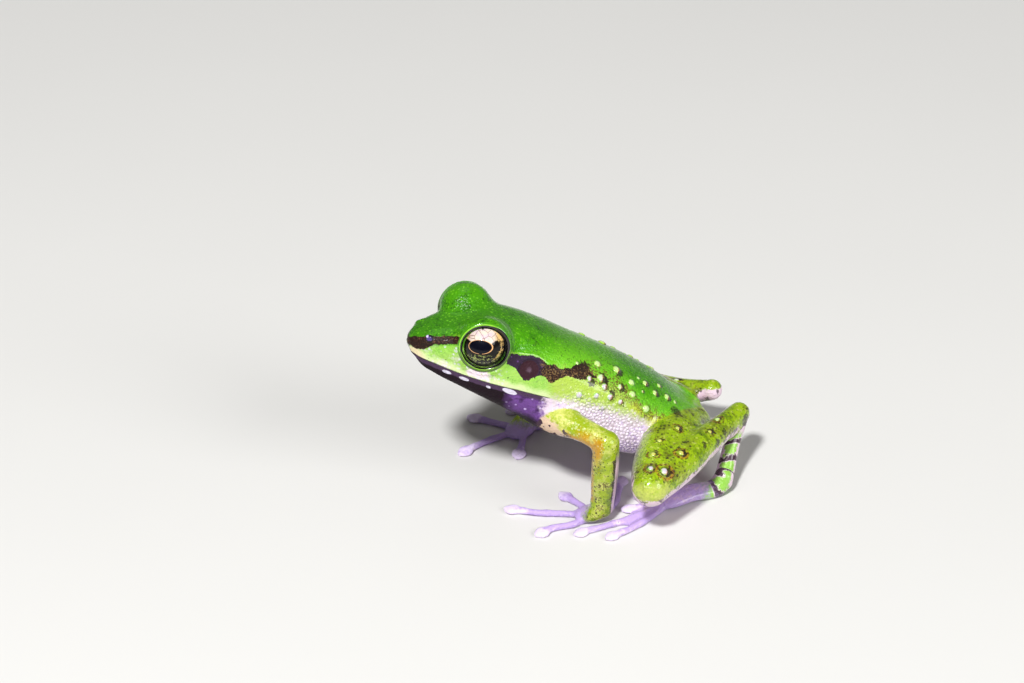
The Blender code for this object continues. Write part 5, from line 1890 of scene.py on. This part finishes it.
def make_floor(context):
    """A wide pale floor under the feet."""
    bm = bmesh.new()
    bmesh.ops.create_grid(bm, x_segments=8, y_segments=8, size=FLOOR_SIZE / 2)
    mesh = bpy.data.meshes.new("studio_floor")
    bm.to_mesh(mesh)
    bm.free()
    mesh.materials.append(floor_finish(context.scene.frog_colours))
    new_object(mesh, "studio_floor")


def make_lights(context):
    """Soft boxes round the frog and a pale surrounding."""
    for name, place, size, share in LIGHTS:
        light = bpy.data.lights.new(name, "AREA")
        light.shape = "DISK"
        light.size = size
        light.energy = context.scene.frog_sizes.key_power * share
        lamp = bpy.data.objects.new(name, light)
        lamp.location = place
        lamp.rotation_euler = Vector(place).to_track_quat("Z", "Y").to_euler()
        context.scene.collection.objects.link(lamp)
    world = bpy.data.worlds.new("studio")
    world.use_nodes = True
    world.node_tree.nodes["Background"].inputs["Color"].default_value = (1.0, 1.0, 1.0, 1.0)
    world.node_tree.nodes["Background"].inputs["Strength"].default_value = SURROUNDINGS
    context.scene.world = world
    context.scene.view_settings.view_transform = "Standard"


def make_camera(context):
    """The camera at the photograph's angle and framing."""
    right, up, back = (Vector(axis) for axis in (ACROSS, UPWARD, TOWARDS))
    across = (PHOTO_SIZE[0] / 2 - SNOUT_IN_PHOTO[0]) / PIXELS_PER_MM
    upward = (SNOUT_IN_PHOTO[1] - PHOTO_SIZE[1] / 2) / PIXELS_PER_MM
    depth = Vector(CAMERA_DEPTH_AT).dot(back)
    aim = (right * across + up * upward + back * depth) * MM + Vector(SHIFT)
    data = bpy.data.cameras.new("camera")
    camera = bpy.data.objects.new("camera", data)
    camera.matrix_world = Matrix((
        (right.x, up.x, back.x, 0.0), (right.y, up.y, back.y, 0.0), (right.z, up.z, back.z, 0.0),
        (0.0, 0.0, 0.0, 1.0),
    ))
    camera.location = aim + back * CAMERA_DISTANCE
    data.sensor_width = 36.0
    data.lens = data.sensor_width * CAMERA_DISTANCE / (PHOTO_SIZE[0] / PIXELS_PER_MM * MM)
    data.clip_start = 0.01
    context.scene.collection.objects.link(camera)
    context.scene.camera = camera


class FROG_PT_panel(bpy.types.Panel):
    """Lists the steps that dress the frog"""

    bl_label = "Frog"
    bl_idname = "FROG_PT_panel"
    bl_space_type = "VIEW_3D"
    bl_region_type = "UI"
    bl_category = "Frog"

    def draw(self, context):
        layout = self.layout
        for name in ("voxel", "eye_radius", "granule_size", "granule_gap", "wart_height", "seed",
                     "key_power"):
            layout.prop(context.scene.frog_sizes, name)
        for operator in OPERATORS:
            layout.operator(operator.bl_idname)
        for name in COLOURS:
            layout.prop(context.scene.frog_colours, name)


OPERATORS = (FROG_OT_skin, FROG_OT_lids, FROG_OT_eyes, FROG_OT_granules, FROG_OT_warts, FROG_OT_stage)
CLASSES = (FrogColours, FrogSizes, *OPERATORS, FROG_PT_panel)


def register():
    """Register the classes and the scene's settings."""
    for item in CLASSES:
        bpy.utils.register_class(item)
    bpy.types.Scene.frog_colours = PointerProperty(type=FrogColours)
    bpy.types.Scene.frog_sizes = PointerProperty(type=FrogSizes)


def unregister():
    """Take the scene's settings and the classes away again."""
    del bpy.types.Scene.frog_sizes
    del bpy.types.Scene.frog_colours
    for item in reversed(CLASSES):
        bpy.utils.unregister_class(item)


def main():
    """Build everything in order."""
    register()
    bpy.ops.frog.skin()
    bpy.ops.frog.lids()
    bpy.ops.frog.eyes()
    bpy.ops.frog.granules()
    bpy.ops.frog.warts()
    bpy.ops.frog.stage()


if __name__ == "__main__":
    main()
